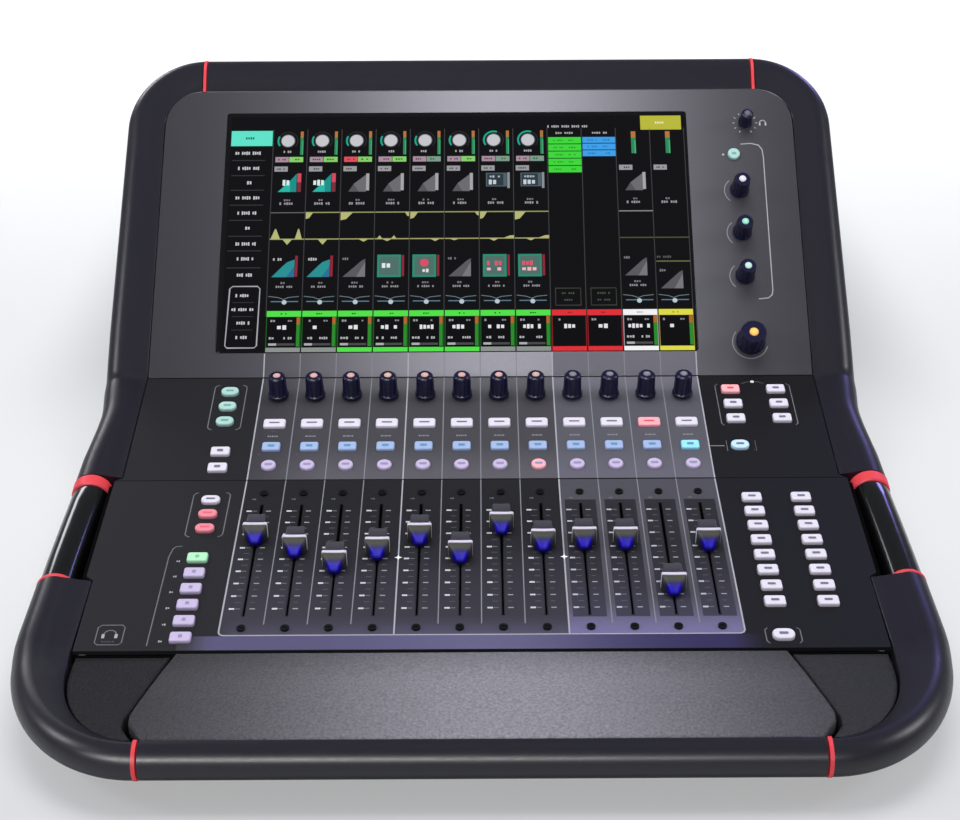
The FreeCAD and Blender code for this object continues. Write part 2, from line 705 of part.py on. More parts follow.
def base_pan():
    body = new_body("base_pan")
    floor_top = PAN_BOTTOM + WALL
    rear = REAR_Y - 0.6
    under = -10.7                       # upper edge of the pan, below the panel faces
    rear_under = -24.5                  # the same behind the top rail
    front = side_point(FADER, 4.0, under)
    profile = polygon(new_sketch(body, "YZ_Plane"), [
        (-283.0, 22.0), (-266.0, PAN_BOTTOM), (rear, PAN_BOTTOM), (rear, 195.0),
        (288.0, 226.0),
        side_point(SCREEN, 246.0, rear_under),
        side_point(SCREEN, 210.0, rear_under),
        side_point(SCREEN, 206.0, under),
        side_point(CONTROL, dim("control_len").value, under),
        side_point(FADER, dim("fader_len").value, under),
        front, (front[0], 22.0)])
    pad(body, profile, PAN_HALF * 2, symmetric=True)

    # rounded front corners inside the corner mouldings
    for side in (-1, 1):
        outside = polygon(new_sketch(body), [(side * x, y) for x, y in corner_arc(49.5, 60.0)]
                          + [(side * 262.0, CORNER_Y), (side * 262.0, -300.0),
                             (side * CORNER_X, -300.0)])
        pocket(body, outside, 60, reverse=True)
    # inside, between the finger recesses
    inside = polygon(new_sketch(body, "YZ_Plane"), [
        (-260.0, floor_top), (rear + 5, floor_top), (rear + 5, 290.0), (-150.0, 290.0),
        (-260.0, 60.0)])
    pocket(body, inside, 2 * (RECESS_X - WALL), symmetric=True)
    # inside of the raked front wall
    inside = polygon(new_sketch(body, "YZ_Plane"), [
        (-280.2, 21.99), (-265.2, floor_top), (-255.0, floor_top), (-255.0, 60.0),
        (-280.2, 60.0)])
    pocket(body, inside, 386, symmetric=True)
    # inside, full width in front of and behind the finger recesses
    half_inside = PAN_HALF - WALL
    for y0, y1 in ((CORNER_Y, RECESS_FRONT - WALL), (RECESS_REAR + WALL, 310.0)):
        inside = rectangle(new_sketch(body, offset=floor_top), -half_inside, y0,
                           half_inside, y1)
        pocket(body, inside, 300, reverse=True)
    # inside of the rounded front corners
    arc = corner_arc(47.5, 58.0)
    inside = polygon(new_sketch(body, offset=floor_top),
                     [(-x, y) for x, y in reversed(arc)] + arc)
    pocket(body, inside, 300, reverse=True)
    # finger recesses behind both side grips
    for side in (-1, 1):
        recess = rectangle(new_sketch(body), RECESS_X * side, RECESS_FRONT,
                           262.0 * side, RECESS_REAR)
        pocket(body, recess, 290, reverse=True)
    # air slots in the floor
    slot = rounded_rect(new_sketch(body), -60, -60, 4, 70, 1.9)
    repeat(body, [pocket(body, slot, 20, reverse=True)], 12, 11)


base_pan()

# ------------------------------------------------------ rear cover and sockets
COVER_THICK = 2.0
SOCKET_Y = REAR_Y.value + COVER_THICK + 0.05    # underside of the socket flanges
XLR_FIRST, XLR_STEP = -187.0, 34.0
XLR_FEMALE_Z = (176.0, 140.0)
FEMALE_COUNT = 12                       # sockets in each female row
LOW_Z = 104.0                           # lowest row: male sockets and others
MALE_COUNT = 8
ROUND_SOCKET_X = (101.0, 131.0)
BOX_SOCKET_X = (159.2, 183.2)


def rear_cover():
    body = new_body("rear_cover")
    outer = REAR_Y + COVER_THICK
    profile = polygon(new_sketch(body, "YZ_Plane"), [
        (REAR_Y, 6.4), (outer, 6.4), (outer, 205.0), (290.4, 240.0), (288.2, 239.2),
        (REAR_Y, 204.0)])
    pad(body, profile, 489.0, symmetric=True)

    def rear_sketch():
        """Sketch in x and z in front of the cover; cuts from it run rearwards."""
        return new_sketch(body, "XZ_Plane", offset=-290.0)

    cut_depth = 30
    for z, count in [(z, FEMALE_COUNT) for z in XLR_FEMALE_Z] + [(LOW_Z, MALE_COUNT)]:
        hole = circle(rear_sketch(), XLR_FIRST, z, 11.9)
        repeat(body, [pocket(body, hole, cut_depth)], XLR_STEP, count)
    holes = rear_sketch()
    for x in ROUND_SOCKET_X:
        circle(holes, x, LOW_Z, 8.2)
    for x in BOX_SOCKET_X:
        rectangle(holes, x - 8.2, 96.5, x + 8.2, 111.5)
    rectangle(holes, 100.0, 64.0, 113.0, 76.0)
    pocket(body, holes, cut_depth)
    # mains inlet and power switch
    holes = rectangle(rear_sketch(), -214.0, 52.0, -184.0, 76.0)
    rectangle(holes, -172.0, 52.0, -149.0, 76.0)
    pocket(body, holes, cut_depth)
    # air slots
    slot = rounded_rect(rear_sketch(), -60, 40, 3, 34, 1.4)
    repeat(body, [pocket(body, slot, cut_depth)], 9, 15)


def rod(radius, length, x, y, z):
    """Cylinder that runs rearwards from a point."""
    return Part.makeCylinder(radius, length, Vector(x, y, z), Y_DIR)


def ring_places(x, z, radius, angles):
    turns = [math.radians(angle) for angle in angles]
    return [(x + radius * math.cos(turn), z + radius * math.sin(turn)) for turn in turns]


def xlr(x, z, male):
    flange = Part.makeBox(26, 2.4, 31, Vector(x - 13, SOCKET_Y, z - 15.5))
    corners = [edge for edge in flange.Edges
               if abs(edge.tangentAt(edge.FirstParameter).y) > 0.9]
    flange = flange.makeFillet(2.0, corners)
    socket = flange.fuse(rod(11.6, 22.0, x, SOCKET_Y - 21.0, z))
    if male:
        socket = socket.cut(rod(9.2, 16, x, SOCKET_Y - 12, z))
        for pin_x, pin_z in ring_places(x, z, 4.6, (90, 210, 330)):
            socket = socket.fuse(rod(1.15, 13.2, pin_x, SOCKET_Y - 12.4, pin_z))
    else:
        for hole_x, hole_z in ring_places(x, z, 4.6, (30, 150, 270)):
            socket = socket.cut(rod(1.5, 14, hole_x, SOCKET_Y - 9, hole_z))
        groove = rod(8.6, 3, x, SOCKET_Y + 0.9, z).cut(rod(7.4, 4, x, SOCKET_Y + 0.4, z))
        socket = socket.cut(groove)
        # latch above the contacts
        socket = socket.fuse(Part.makeBox(6, 3.4, 3.2, Vector(x - 3, SOCKET_Y + 0.2, z + 11.0)))
    return socket.removeSplitter()


def round_socket(x):
    """Round socket with five holes in a half circle."""
    socket = rod(10.5, 2.0, x, SOCKET_Y, LOW_Z).fuse(rod(7.9, 14, x, SOCKET_Y - 13, LOW_Z))
    for hole_x, hole_z in ring_places(x, LOW_Z, 4.2, (0, 45, 90, 135, 180)):
        socket = socket.cut(rod(0.9, 10, hole_x, SOCKET_Y - 6, hole_z))
    return socket


def box_socket(x):
    socket = Part.makeBox(15.6, 20, 14.2, Vector(x - 7.8, SOCKET_Y - 18.5, 96.9))
    return socket.cut(Part.makeBox(11.8, 14, 8.4, Vector(x - 5.9, SOCKET_Y - 10, 98.4)))


def small_box_socket():
    socket = Part.makeBox(12.2, 15, 11.2, Vector(100.4, SOCKET_Y - 13.5, 64.4))
    return socket.cut(Part.makeBox(8.6, 10, 7.8, Vector(102.2, SOCKET_Y - 6, 66.1)))


def mains_inlet():
    inlet = Part.makeBox(34, 2.2, 29, Vector(-216.0, SOCKET_Y, 49.5))
    inlet = inlet.fuse(Part.makeBox(29.2, 24, 23.2, Vector(-213.6, SOCKET_Y - 23, 52.4)))
    inlet = inlet.cut(Part.makeBox(24.5, 20, 17.0, Vector(-211.25, SOCKET_Y - 14, 55.5)))
    for x, z in ((-206.0, 61.5), (-199.0, 64.5), (-192.0, 61.5)):
        inlet = inlet.fuse(Part.makeBox(2.0, 14, 4.4, Vector(x - 1, SOCKET_Y - 15.0, z)))
    return inlet.removeSplitter()


def switch_frame():
    frame = Part.makeBox(27, 2.2, 28, Vector(-174.0, SOCKET_Y, 50.0))
    frame = frame.fuse(Part.makeBox(22.2, 20, 23.2, Vector(-171.6, SOCKET_Y - 19, 52.4)))
    frame = frame.cut(Part.makeBox(15.0, 30, 19.6, Vector(-168.0, SOCKET_Y - 13.0, 54.2)))
    return frame.removeSplitter()


def rear_sockets():
    sockets = []
    for i in range(FEMALE_COUNT):
        for z in XLR_FEMALE_Z:
            sockets.append(xlr(XLR_FIRST + XLR_STEP * i, z, male=False))
    for i in range(MALE_COUNT):
        sockets.append(xlr(XLR_FIRST + XLR_STEP * i, LOW_Z, male=True))
    sockets += [round_socket(x) for x in ROUND_SOCKET_X]
    sockets += [box_socket(x) for x in BOX_SOCKET_X]
    sockets += [small_box_socket(), mains_inlet(), switch_frame()]
    add_shape("rear_sockets", Part.makeCompound(sockets))


def power_rocker():
    """Tilted rocker in the switch frame, with a pivot stud on each side."""
    body = new_body("power_rocker")
    body.Placement = Placement(Vector(-160.5, SOCKET_Y - 4.0, 64.0), Rotation(X_DIR, 8.0))
    profile = polygon(new_sketch(body, "YZ_Plane"), [
        (-3.0, -7.8), (5.4, -8.6), (4.0, 0.0), (5.4, 8.6), (-3.0, 7.8), (-5.0, 0.0)])
    pad(body, profile, 14.0, symmetric=True)
    pad(body, circle(new_sketch(body, "YZ_Plane"), 0.0, 0.0, 1.6), 14.8, symmetric=True)


rear_cover()
rear_sockets()
power_rocker()


# ------------------------------------------------------------ feet and armrest
def feet():
    """Four feet, each with a round hollow underneath."""
    body = new_body("feet")

    def foot_circles(radius):
        sketch = new_sketch(body)
        for x in (-200.0, 200.0):
            for y in (-240.0, 268.0):
                circle(sketch, x, y, radius)
        return sketch

    pad(body, foot_circles(dim("foot_r")), PAN_BOTTOM - 0.1)
    pocket(body, foot_circles(3.2), 2.0, reverse=True)


def armrest_pad():
    body = new_body("armrest_pad")
    profile = polygon(new_sketch(body, "YZ_Plane"), [
        (-210.6, 25.0), (-210.6, 35.6), (-211.8, 36.8), (-235.0, 38.9), (-262.0, 39.9),
        (-288.0, 39.8), (-297.2, 38.8), (-298.0, 37.6), (-298.0, 30.4), (-284.6, 30.4),
        (-284.6, 25.0)])
    pad(body, profile, 420, symmetric=True)
    # right end, cut away to the edge of the corner insert
    end = [(186.0, -205.0), (186.0, -212.0), (202.2, -275.0), (201.6, -283.0),
           (191.4, -296.5), (191.4, -305.0), (240.0, -305.0), (240.0, -205.0)]
    for side in (-1, 1):
        outline = polygon(new_sketch(body), [(x * side, y) for x, y in end])
        pocket(body, outline, 80, reverse=True)


def prism(side, outline, bottom, height):
    """Upright prism on an outline given for the right side."""
    points = [Vector(side * x, y, bottom) for x, y in outline]
    face = Part.Face(Part.makePolygon(points + [points[0]]))
    return face.extrude(Vector(0, 0, height))


def armrest_corners():
    outline = [(188.6, -211.2), (204.8, -275.6), (204.2, -284.0), (197.0, -295.4)]
    outline += [point for point in corner_arc(52.6, 71.4, 14) if point[0] > 197.3]
    outline.append((247.1, -211.2))
    # the top slopes gently down towards the panel
    above = [Vector(-300, y, z) for y, z in (
        (-311, 37.6), (-200, 33.6), (-200, 80), (-311, 80), (-311, 37.6))]
    inserts = []
    for side in (-1, 1):
        tool = Part.Face(Part.makePolygon(above)).extrude(Vector(600, 0, 0))
        inserts.append(prism(side, outline, 24.0, 30).cut(tool))
    add_shape("armrest_corners", Part.makeCompound(inserts))


feet()
armrest_pad()
armrest_corners()

# ------------------------------------------------------------- frame mouldings
TUBE_R = dim("tube_r").value
TUBE_OUT = dim("tube_w").value
REAR_X = 267.6                          # tube centre beside the key and screen panels
FRONT_X = 271.5                         # tube centre beside the fader panel
RAIL_UP = dim("screen_len").value + 20.0        # tube centre of the top rail
REAR_REACH = 19.0                       # panel edge to tube centre, rear mouldings
FRONT_REACH = 21.8                      # the same for the front mouldings
TOP_BEND = 50.0                         # bend radius of the tube at the top
FRONT_BEND = 75.0                       # bend radius of the tube at the front
SEAM_TOP = 219.0                        # x of the seam rings
SEAM_FRONT = 194.0
FRONT_END = SEAM_FRONT + 2.0            # end of the front corner mouldings
NOSE_Y, NOSE_Z = -300.5, 27.0           # tube centre of the front rail
LEDGE_Y = -297.4                        # front edge of the ledge in the corners


def section(centre, across, out, reach):
    """Closed moulding section about a tube centre. Its lip lies on the panel
    edge, reach back from the centre; a is measured from there along across,
    w along out from the panel face."""
    def place(a, w):
        return centre + across * (a - reach) + out * (w - TUBE_OUT)

    def on_tube(turn):
        return place(reach + TUBE_R * math.cos(turn), TUBE_OUT + TUBE_R * math.sin(turn))

    # the flat top runs from the lip to touch the tube at this angle
    touch = math.atan2(-TUBE_OUT, -reach) - math.acos(TUBE_R / math.hypot(reach, TUBE_OUT))
    lip = place(0, 0)
    touch_point = on_tube(touch)
    arc_middle = on_tube(touch / 2.0 - math.pi / 4.0)
    tube_bottom = place(reach, TUBE_OUT - TUBE_R)
    inner_bottom = place(6.0, TUBE_OUT - TUBE_R)
    lip_bottom = place(0, -12.0)
    return Part.Face(Part.Wire([
        Part.LineSegment(lip, touch_point).toShape(),
        Part.Arc(touch_point, arc_middle, tube_bottom).toShape(),
        Part.LineSegment(tube_bottom, inner_bottom).toShape(),
        Part.LineSegment(inner_bottom, lip_bottom).toShape(),
        Part.LineSegment(lip_bottom, lip).toShape()]))


def half_space(point, direction, size=700):
    """Big block on the side of the plane that direction points to."""
    block = Part.makeBox(size * 2, size * 2, size, Vector(-size, -size, 0))
    block.Placement = Placement(point, Rotation(Z_DIR, direction))
    return block


def clipped(face, direction, start, start_dir, end, end_dir):
    """Extrudes a section both ways and keeps what lies between two planes."""
    reach = 300
    face = face.copy()
    face.translate(direction * -reach)
    bar = face.extrude(direction * (2 * reach))
    return bar.common(half_space(start, start_dir)).common(half_space(end, end_dir))


def bisector(first, second):
    """Normal of the mitre plane between two runs."""
    middle = first + second
    middle.normalize()
    return middle


def rear_corner(side):
    """Moulding beside the key and screen panels, with the top bend."""
    across = Vector(side, 0, 0)
    up_control, up_screen = panel_up(CONTROL), panel_up(SCREEN)
    out_screen = panel_out(SCREEN)
    fold = panel_point(SCREEN, 0, 0, 0)
    mitre = bisector(up_control, up_screen)
    bend_up = RAIL_UP - TOP_BEND
    start = panel_point(CONTROL, side * REAR_X, 3.3, TUBE_OUT)
    bend_start = panel_point(SCREEN, side * REAR_X, bend_up, TUBE_OUT)
    lower = clipped(section(start, across, panel_out(CONTROL), REAR_REACH),
                    up_control, start, up_control, fold, -mitre)
    screen_section = section(bend_start, across, out_screen, REAR_REACH)
    upper = clipped(screen_section, up_screen, fold, mitre, bend_start, -up_screen)
    # bend in the screen plane
    centre = panel_point(SCREEN, side * (REAR_X - TOP_BEND), bend_up, TUBE_OUT)
    bend = screen_section.revolve(centre, out_screen, side * 90)
    moulding = lower.fuse(upper)
    moulding = moulding.fuse(bend).removeSplitter()
    # finish at the seam, trimming only near the top rail
    beyond = half_space(panel_point(SCREEN, side * (SEAM_TOP + 2.0), RAIL_UP, TUBE_OUT),
                        Vector(-side, 0, 0), 60)
    near_rail = half_space(panel_point(SCREEN, 0, RAIL_UP - 40, 0), up_screen, 600)
    return moulding.cut(beyond.common(near_rail))


def front_corner(side):
    """Moulding beside the front of the fader panel, with the front bend."""
    steps = 14
    up_fader = panel_up(FADER)
    bend_y = NOSE_Y + FRONT_BEND        # where the bend starts
    bend_x = FRONT_X - FRONT_BEND
    centre = panel_point(FADER, side * (FRONT_X - 0.6), 80.0, TUBE_OUT)
    run = centre - panel_point(FADER, side * FRONT_X, -2.0, TUBE_OUT)
    run.normalize()
    mitre = bisector(up_fader, Y_DIR)
    fold = panel_point(FADER, 0, -2.0, 0)
    sloping = clipped(section(centre, Vector(side, 0, 0), panel_out(FADER), FRONT_REACH),
                      run, fold, mitre, panel_point(FADER, 0, 66.8, 0), -up_fader)

    # level part: a tube, its bend and a shoulder that runs in to the inserts
    disc = Part.Face(Part.Wire(
        Part.Circle(Vector(side * FRONT_X, bend_y, NOSE_Z), Y_DIR, TUBE_R).toShape()))
    straight = disc.extrude(Vector(0, 40, 0)).common(half_space(fold, -mitre))
    bend = disc.revolve(Vector(side * bend_x, bend_y, NOSE_Z), Z_DIR, -side * 90)
    outer = [(FRONT_X, fold.y + 2.0)]
    for k in range(steps + 1):
        turn = math.radians(-90.0 * k / steps)
        outer.append((bend_x + FRONT_BEND * math.cos(turn),
                      bend_y + FRONT_BEND * math.sin(turn)))
    outer.append((FRONT_END, NOSE_Y))
    inner_arc = corner_arc(53.1, 71.9, steps)
    inner = [(FRONT_END, LEDGE_Y)] + [point for point in inner_arc if point[0] > FRONT_END]
    inner.append((249.6, fold.y + 2.0))
    shoulder = prism(side, outer + inner, 17.0, 22.2).common(half_space(fold, -mitre))
    level = straight.fuse([bend, shoulder])
    moulding = sloping.fuse(level)

    # room for the insert and the pad above a low ledge
    well = [(188.0, LEDGE_Y)] + [point for point in inner_arc if point[0] > 195.0]
    well += [(247.6, -190.0), (188.0, -190.0)]
    moulding = moulding.cut(prism(side, well, 23.4, 40).common(half_space(fold, -mitre)))
    # finish at the seam with the front rail
    trim = Part.makeBox(60, 60, 60, Vector(side * (FRONT_END - 30) - 30, -330, 0))
    return moulding.cut(trim).removeSplitter()


def side_handle(side):
    """Grip tube from the lower to the upper collar."""
    low = panel_point(FADER, side * (FRONT_X - 0.7), 70.5, TUBE_OUT)
    high = panel_point(CONTROL, side * (REAR_X + 0.3), -8.1, TUBE_OUT)
    run = high - low
    length = run.Length + 20
    run.normalize()
    tube = Part.makeCylinder(dim("handle_r").value, length, low, run)
    tube = tube.common(half_space(high, -panel_up(CONTROL)))
    return tube.common(half_space(panel_point(FADER, 0, 70.5, 0), panel_up(FADER)))


def top_slice(x, half_length):
    """Length of the top rail section about x."""
    centre = panel_point(SCREEN, x - half_length, RAIL_UP, TUBE_OUT)
    face = section(centre, panel_up(SCREEN), panel_out(SCREEN), REAR_REACH)
    return face.extrude(Vector(2 * half_length, 0, 0))


def nose_slice(x, half_length, back):
    """Half-round nose about x, closed by points (y, z) from bottom to top."""
    centre = Vector(x - half_length, NOSE_Y, NOSE_Z)
    top, bottom = Vector(0, 0, TUBE_R), Vector(0, 0, -TUBE_R)
    edges = [Part.Arc(centre + top, centre + Vector(0, -TUBE_R, 0), centre + bottom).toShape()]
    chain = [bottom] + [Vector(0, y, z) for y, z in back] + [top]
    for start, end in zip(chain[:-1], chain[1:]):
        edges.append(Part.LineSegment(centre + start, centre + end).toShape())
    return Part.Face(Part.Wire(edges)).extrude(Vector(2 * half_length, 0, 0))


def accent_rings(side):
    """Two collars of the grip, then the top and front seam rings."""
    return [
        Part.makeCylinder(13.6, 3.2, panel_point(FADER, side * (FRONT_X - 0.6), 67.0, TUBE_OUT),
                          panel_up(FADER)),
        # broad enough to bridge the fold
        Part.makeCylinder(13.9, 10.6,
                          panel_point(CONTROL, side * (REAR_X + 0.2), -7.8, TUBE_OUT),
                          panel_up(CONTROL)),
        top_slice(side * SEAM_TOP, 1.6),
        nose_slice(side * SEAM_FRONT, 1.7, [(3.2, -TUBE_R), (3.2, 12.2)]),
    ]


SIDES = (-1, 1)
add_shape("rear_rail", top_slice(0, SEAM_TOP - 2.0))
# the front rail has a ledge under the pad
add_shape("front_rail", nose_slice(0, SEAM_FRONT - 2.1, [
    (14.5, -TUBE_R), (14.5, 2.6), (2.1, 2.6), (2.1, 12.6)]))
add_shape("rear_corner_mouldings", Part.makeCompound([rear_corner(side) for side in SIDES]))
add_shape("front_corner_mouldings", Part.makeCompound([front_corner(side) for side in SIDES]))
add_shape("side_handles", Part.makeCompound([side_handle(side) for side in SIDES]))
add_shape("accent_rings", Part.makeCompound(
    [ring for side in SIDES for ring in accent_rings(side)]))

# ---------------------------------------------------------------------- export
doc.recompute()
broken = []
for name, obj in NODES:
    failed = any(state in ("Invalid", "Error") for state in obj.State)
    shape = obj.Shape
    if failed or shape.isNull() or not shape.isValid() or not shape.Solids:
        broken.append((name, obj.State))
        continue
    shape.exportStep("parts/%s.step" % name)
if broken:
    raise RuntimeError("broken: %s" % broken)
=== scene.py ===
# Looks for a mixing console that stands on z = 0.
# x runs from left to right, y from the armrest in front (negative) to the back, z up.
# Three tilted panels follow each other from front to back: faders, control keys, screen.
# Sizes are in millimetres unless a comment says otherwise. Panel coordinates are
# x, s (up the slope of the panel) and w (out of its surface).

import bpy
import json
import math
from mathutils import Matrix, Vector, noise

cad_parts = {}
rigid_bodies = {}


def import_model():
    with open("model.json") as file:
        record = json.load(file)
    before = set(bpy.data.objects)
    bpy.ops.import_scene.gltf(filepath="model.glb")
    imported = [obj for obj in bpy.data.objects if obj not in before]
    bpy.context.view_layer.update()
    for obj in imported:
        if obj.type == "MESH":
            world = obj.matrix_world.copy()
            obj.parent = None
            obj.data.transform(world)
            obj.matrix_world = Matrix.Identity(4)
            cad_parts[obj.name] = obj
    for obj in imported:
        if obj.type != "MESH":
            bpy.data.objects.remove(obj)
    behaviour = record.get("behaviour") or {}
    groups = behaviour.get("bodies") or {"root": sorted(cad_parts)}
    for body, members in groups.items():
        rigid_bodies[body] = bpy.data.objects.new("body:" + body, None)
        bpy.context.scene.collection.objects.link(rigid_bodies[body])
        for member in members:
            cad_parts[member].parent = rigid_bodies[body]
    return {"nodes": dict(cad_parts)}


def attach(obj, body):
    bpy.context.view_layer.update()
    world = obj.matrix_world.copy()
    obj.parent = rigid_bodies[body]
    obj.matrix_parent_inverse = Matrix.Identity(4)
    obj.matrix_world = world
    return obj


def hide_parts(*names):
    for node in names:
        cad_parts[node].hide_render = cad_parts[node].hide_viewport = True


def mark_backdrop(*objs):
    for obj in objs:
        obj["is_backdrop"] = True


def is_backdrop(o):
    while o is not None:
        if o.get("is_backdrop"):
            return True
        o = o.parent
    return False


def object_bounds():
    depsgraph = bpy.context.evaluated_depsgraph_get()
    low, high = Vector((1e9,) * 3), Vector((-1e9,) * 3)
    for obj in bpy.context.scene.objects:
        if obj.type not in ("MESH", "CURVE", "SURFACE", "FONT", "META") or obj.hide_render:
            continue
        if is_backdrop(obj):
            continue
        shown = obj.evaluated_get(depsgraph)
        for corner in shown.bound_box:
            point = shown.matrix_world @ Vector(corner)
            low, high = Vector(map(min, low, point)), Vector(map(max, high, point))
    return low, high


for old in list(bpy.data.objects):
    bpy.data.objects.remove(old, do_unlink=True)
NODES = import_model()["nodes"]


def plain(value):
    """Turns bounds of any nesting into lists and floats."""
    if isinstance(value, dict):
        return {str(name): plain(part) for name, part in value.items()}
    # A plain number can't be iterated over, and ends the nesting.
    try:
        return [plain(part) for part in value]
    except TypeError:
        return float(value)


BOUNDS_START = plain(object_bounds())

# --------------------------------------------------------------- main dimensions
MM = 0.001


def panel_behind(panel, length, tilt):
    """The panel that starts where one of the given length ends."""
    y, z, angle = panel
    angle = math.radians(angle)
    return (y + length * math.cos(angle), z + length * math.sin(angle), tilt)


# Panels: y and z of the front edge, tilt in degrees
FADER_LENGTH, CONTROL_LENGTH, SCREEN_LENGTH = 173.9, 116.8, 246.6
FADER = (-209.8, 36.9, 7.2)
CONTROL = panel_behind(FADER, FADER_LENGTH, 11.4)
SCREEN = panel_behind(CONTROL, CONTROL_LENGTH, 42.6)

SIDES = ((-1, "left"), (1, "right"))
PITCH = 27.0
STRIPS = [-148.5 + PITCH * i for i in range(12)]
INPUTS = 8                     # the first strips; the other four are finished differently
SOFT_X, SOFT_S = 202.5, (155.0, 118.5, 81.5)
PHONES = (210.5, 215.0)
MAIN = (203.3, 27.0)


def place(panel, x, s, w):
    """Panel coordinates in mm to a point of the frame in metres."""
    y, z, tilt = panel
    sin, cos = math.sin(math.radians(tilt)), math.cos(math.radians(tilt))
    return (x * MM, (y + s * cos - w * sin) * MM, (z + s * sin + w * cos) * MM)


def metres(x, y, z):
    return (x * MM, y * MM, z * MM)


def interpolate(table, at):
    """Value between the (place, value) rows of a table, held at both ends."""
    for (low, start), (high, end) in zip(table[:-1], table[1:]):
        if at <= high:
            return start + (end - start) * max(0.0, min(1.0, (at - low) / (high - low)))
    return table[-1][1]


def smooth_step(value, low, high):
    t = max(0.0, min(1.0, (value - low) / (high - low)))
    return t * t * (3 - 2 * t)


# ----------------------------------------------------------------------- colours
PAINT_GAIN = 0.80              # how strongly the studio light shows a diffuse colour


def linear(level):
    level /= 255.0
    return level / 12.92 if level <= 0.04045 else ((level + 0.055) / 1.055) ** 2.4


def srgb(code):
    return tuple(linear(int(code[i:i + 2], 16)) for i in (1, 3, 5))


def paint(red, green, blue):
    """Diffuse colour from 0-255 levels."""
    return tuple(linear(level) * PAINT_GAIN for level in (red, green, blue))


def blend(start, end, t):
    return tuple(a + (b - a) * t for a, b in zip(start, end))


def scaled(colour, factor):
    return tuple(level * factor for level in colour)


def paint_stops(*stops):
    return [(at, paint(*levels)) for at, levels in stops]


def grey_stops(*stops):
    return [(at, (level,) * 3) for at, level in stops]


def painted_highlight_stops(side, middle, width, centre):
    """Stops for a painted highlight: the colour is brightest near the middle of the console."""
    reach, count = 300.0, 15
    stops = []
    for i in range(count):
        x = -reach + 2 * reach * i / (count - 1.0)
        amount = math.exp(-((x - centre) / width) ** 2)
        stops.append((x, paint(*blend(side, middle, amount))))
    return stops


# --------------------------------------------------------------------- materials
def add_node(tree, kind, inputs=(), **settings):
    """New node; an input is given as a value or as the socket that feeds it."""
    node = tree.nodes.new(kind)
    for name, value in settings.items():
        setattr(node, name, value)
    for name, value in dict(inputs).items():
        if isinstance(value, bpy.types.NodeSocket):
            tree.links.new(value, node.inputs[name])
        else:
            node.inputs[name].default_value = value
    return node


def multiply_colours(tree, first, second, factor=1.0):
    return add_node(tree, "ShaderNodeMix", {"Factor": factor, "A": first, "B": second},
                    data_type="RGBA", blend_type="MULTIPLY").outputs["Result"]


def maths(tree, operation, *values):
    return add_node(tree, "ShaderNodeMath", enumerate(values), operation=operation).outputs[0]


def position(tree):
    """Outputs X, Y and Z of the shaded point."""
    geometry = add_node(tree, "ShaderNodeNewGeometry")
    return add_node(tree, "ShaderNodeSeparateXYZ",
                    {"Vector": geometry.outputs["Position"]}).outputs


def place_ramp(tree, axis, stops):
    """Colour that changes gently along an axis; stops are (mm, colour)."""
    low, high = stops[0][0] * MM, stops[-1][0] * MM
    share = add_node(tree, "ShaderNodeMapRange",
                     {"From Min": low, "From Max": high, "Value": position(tree)[axis]})
    ramp = add_node(tree, "ShaderNodeValToRGB", {"Fac": share.outputs["Result"]})
    ramp.color_ramp.interpolation = "B_SPLINE"
    elements = ramp.color_ramp.elements
    for at, _ in stops[1:-1]:
        elements.new((at * MM - low) / (high - low))
    ordered = sorted(elements, key=lambda element: element.position)
    for element, (_, colour) in zip(ordered, stops):
        element.color = (*colour, 1.0)
    return ramp.outputs["Color"]


def vertex_colour(tree):
    return add_node(tree, "ShaderNodeAttribute", attribute_name="Col").outputs["Color"]


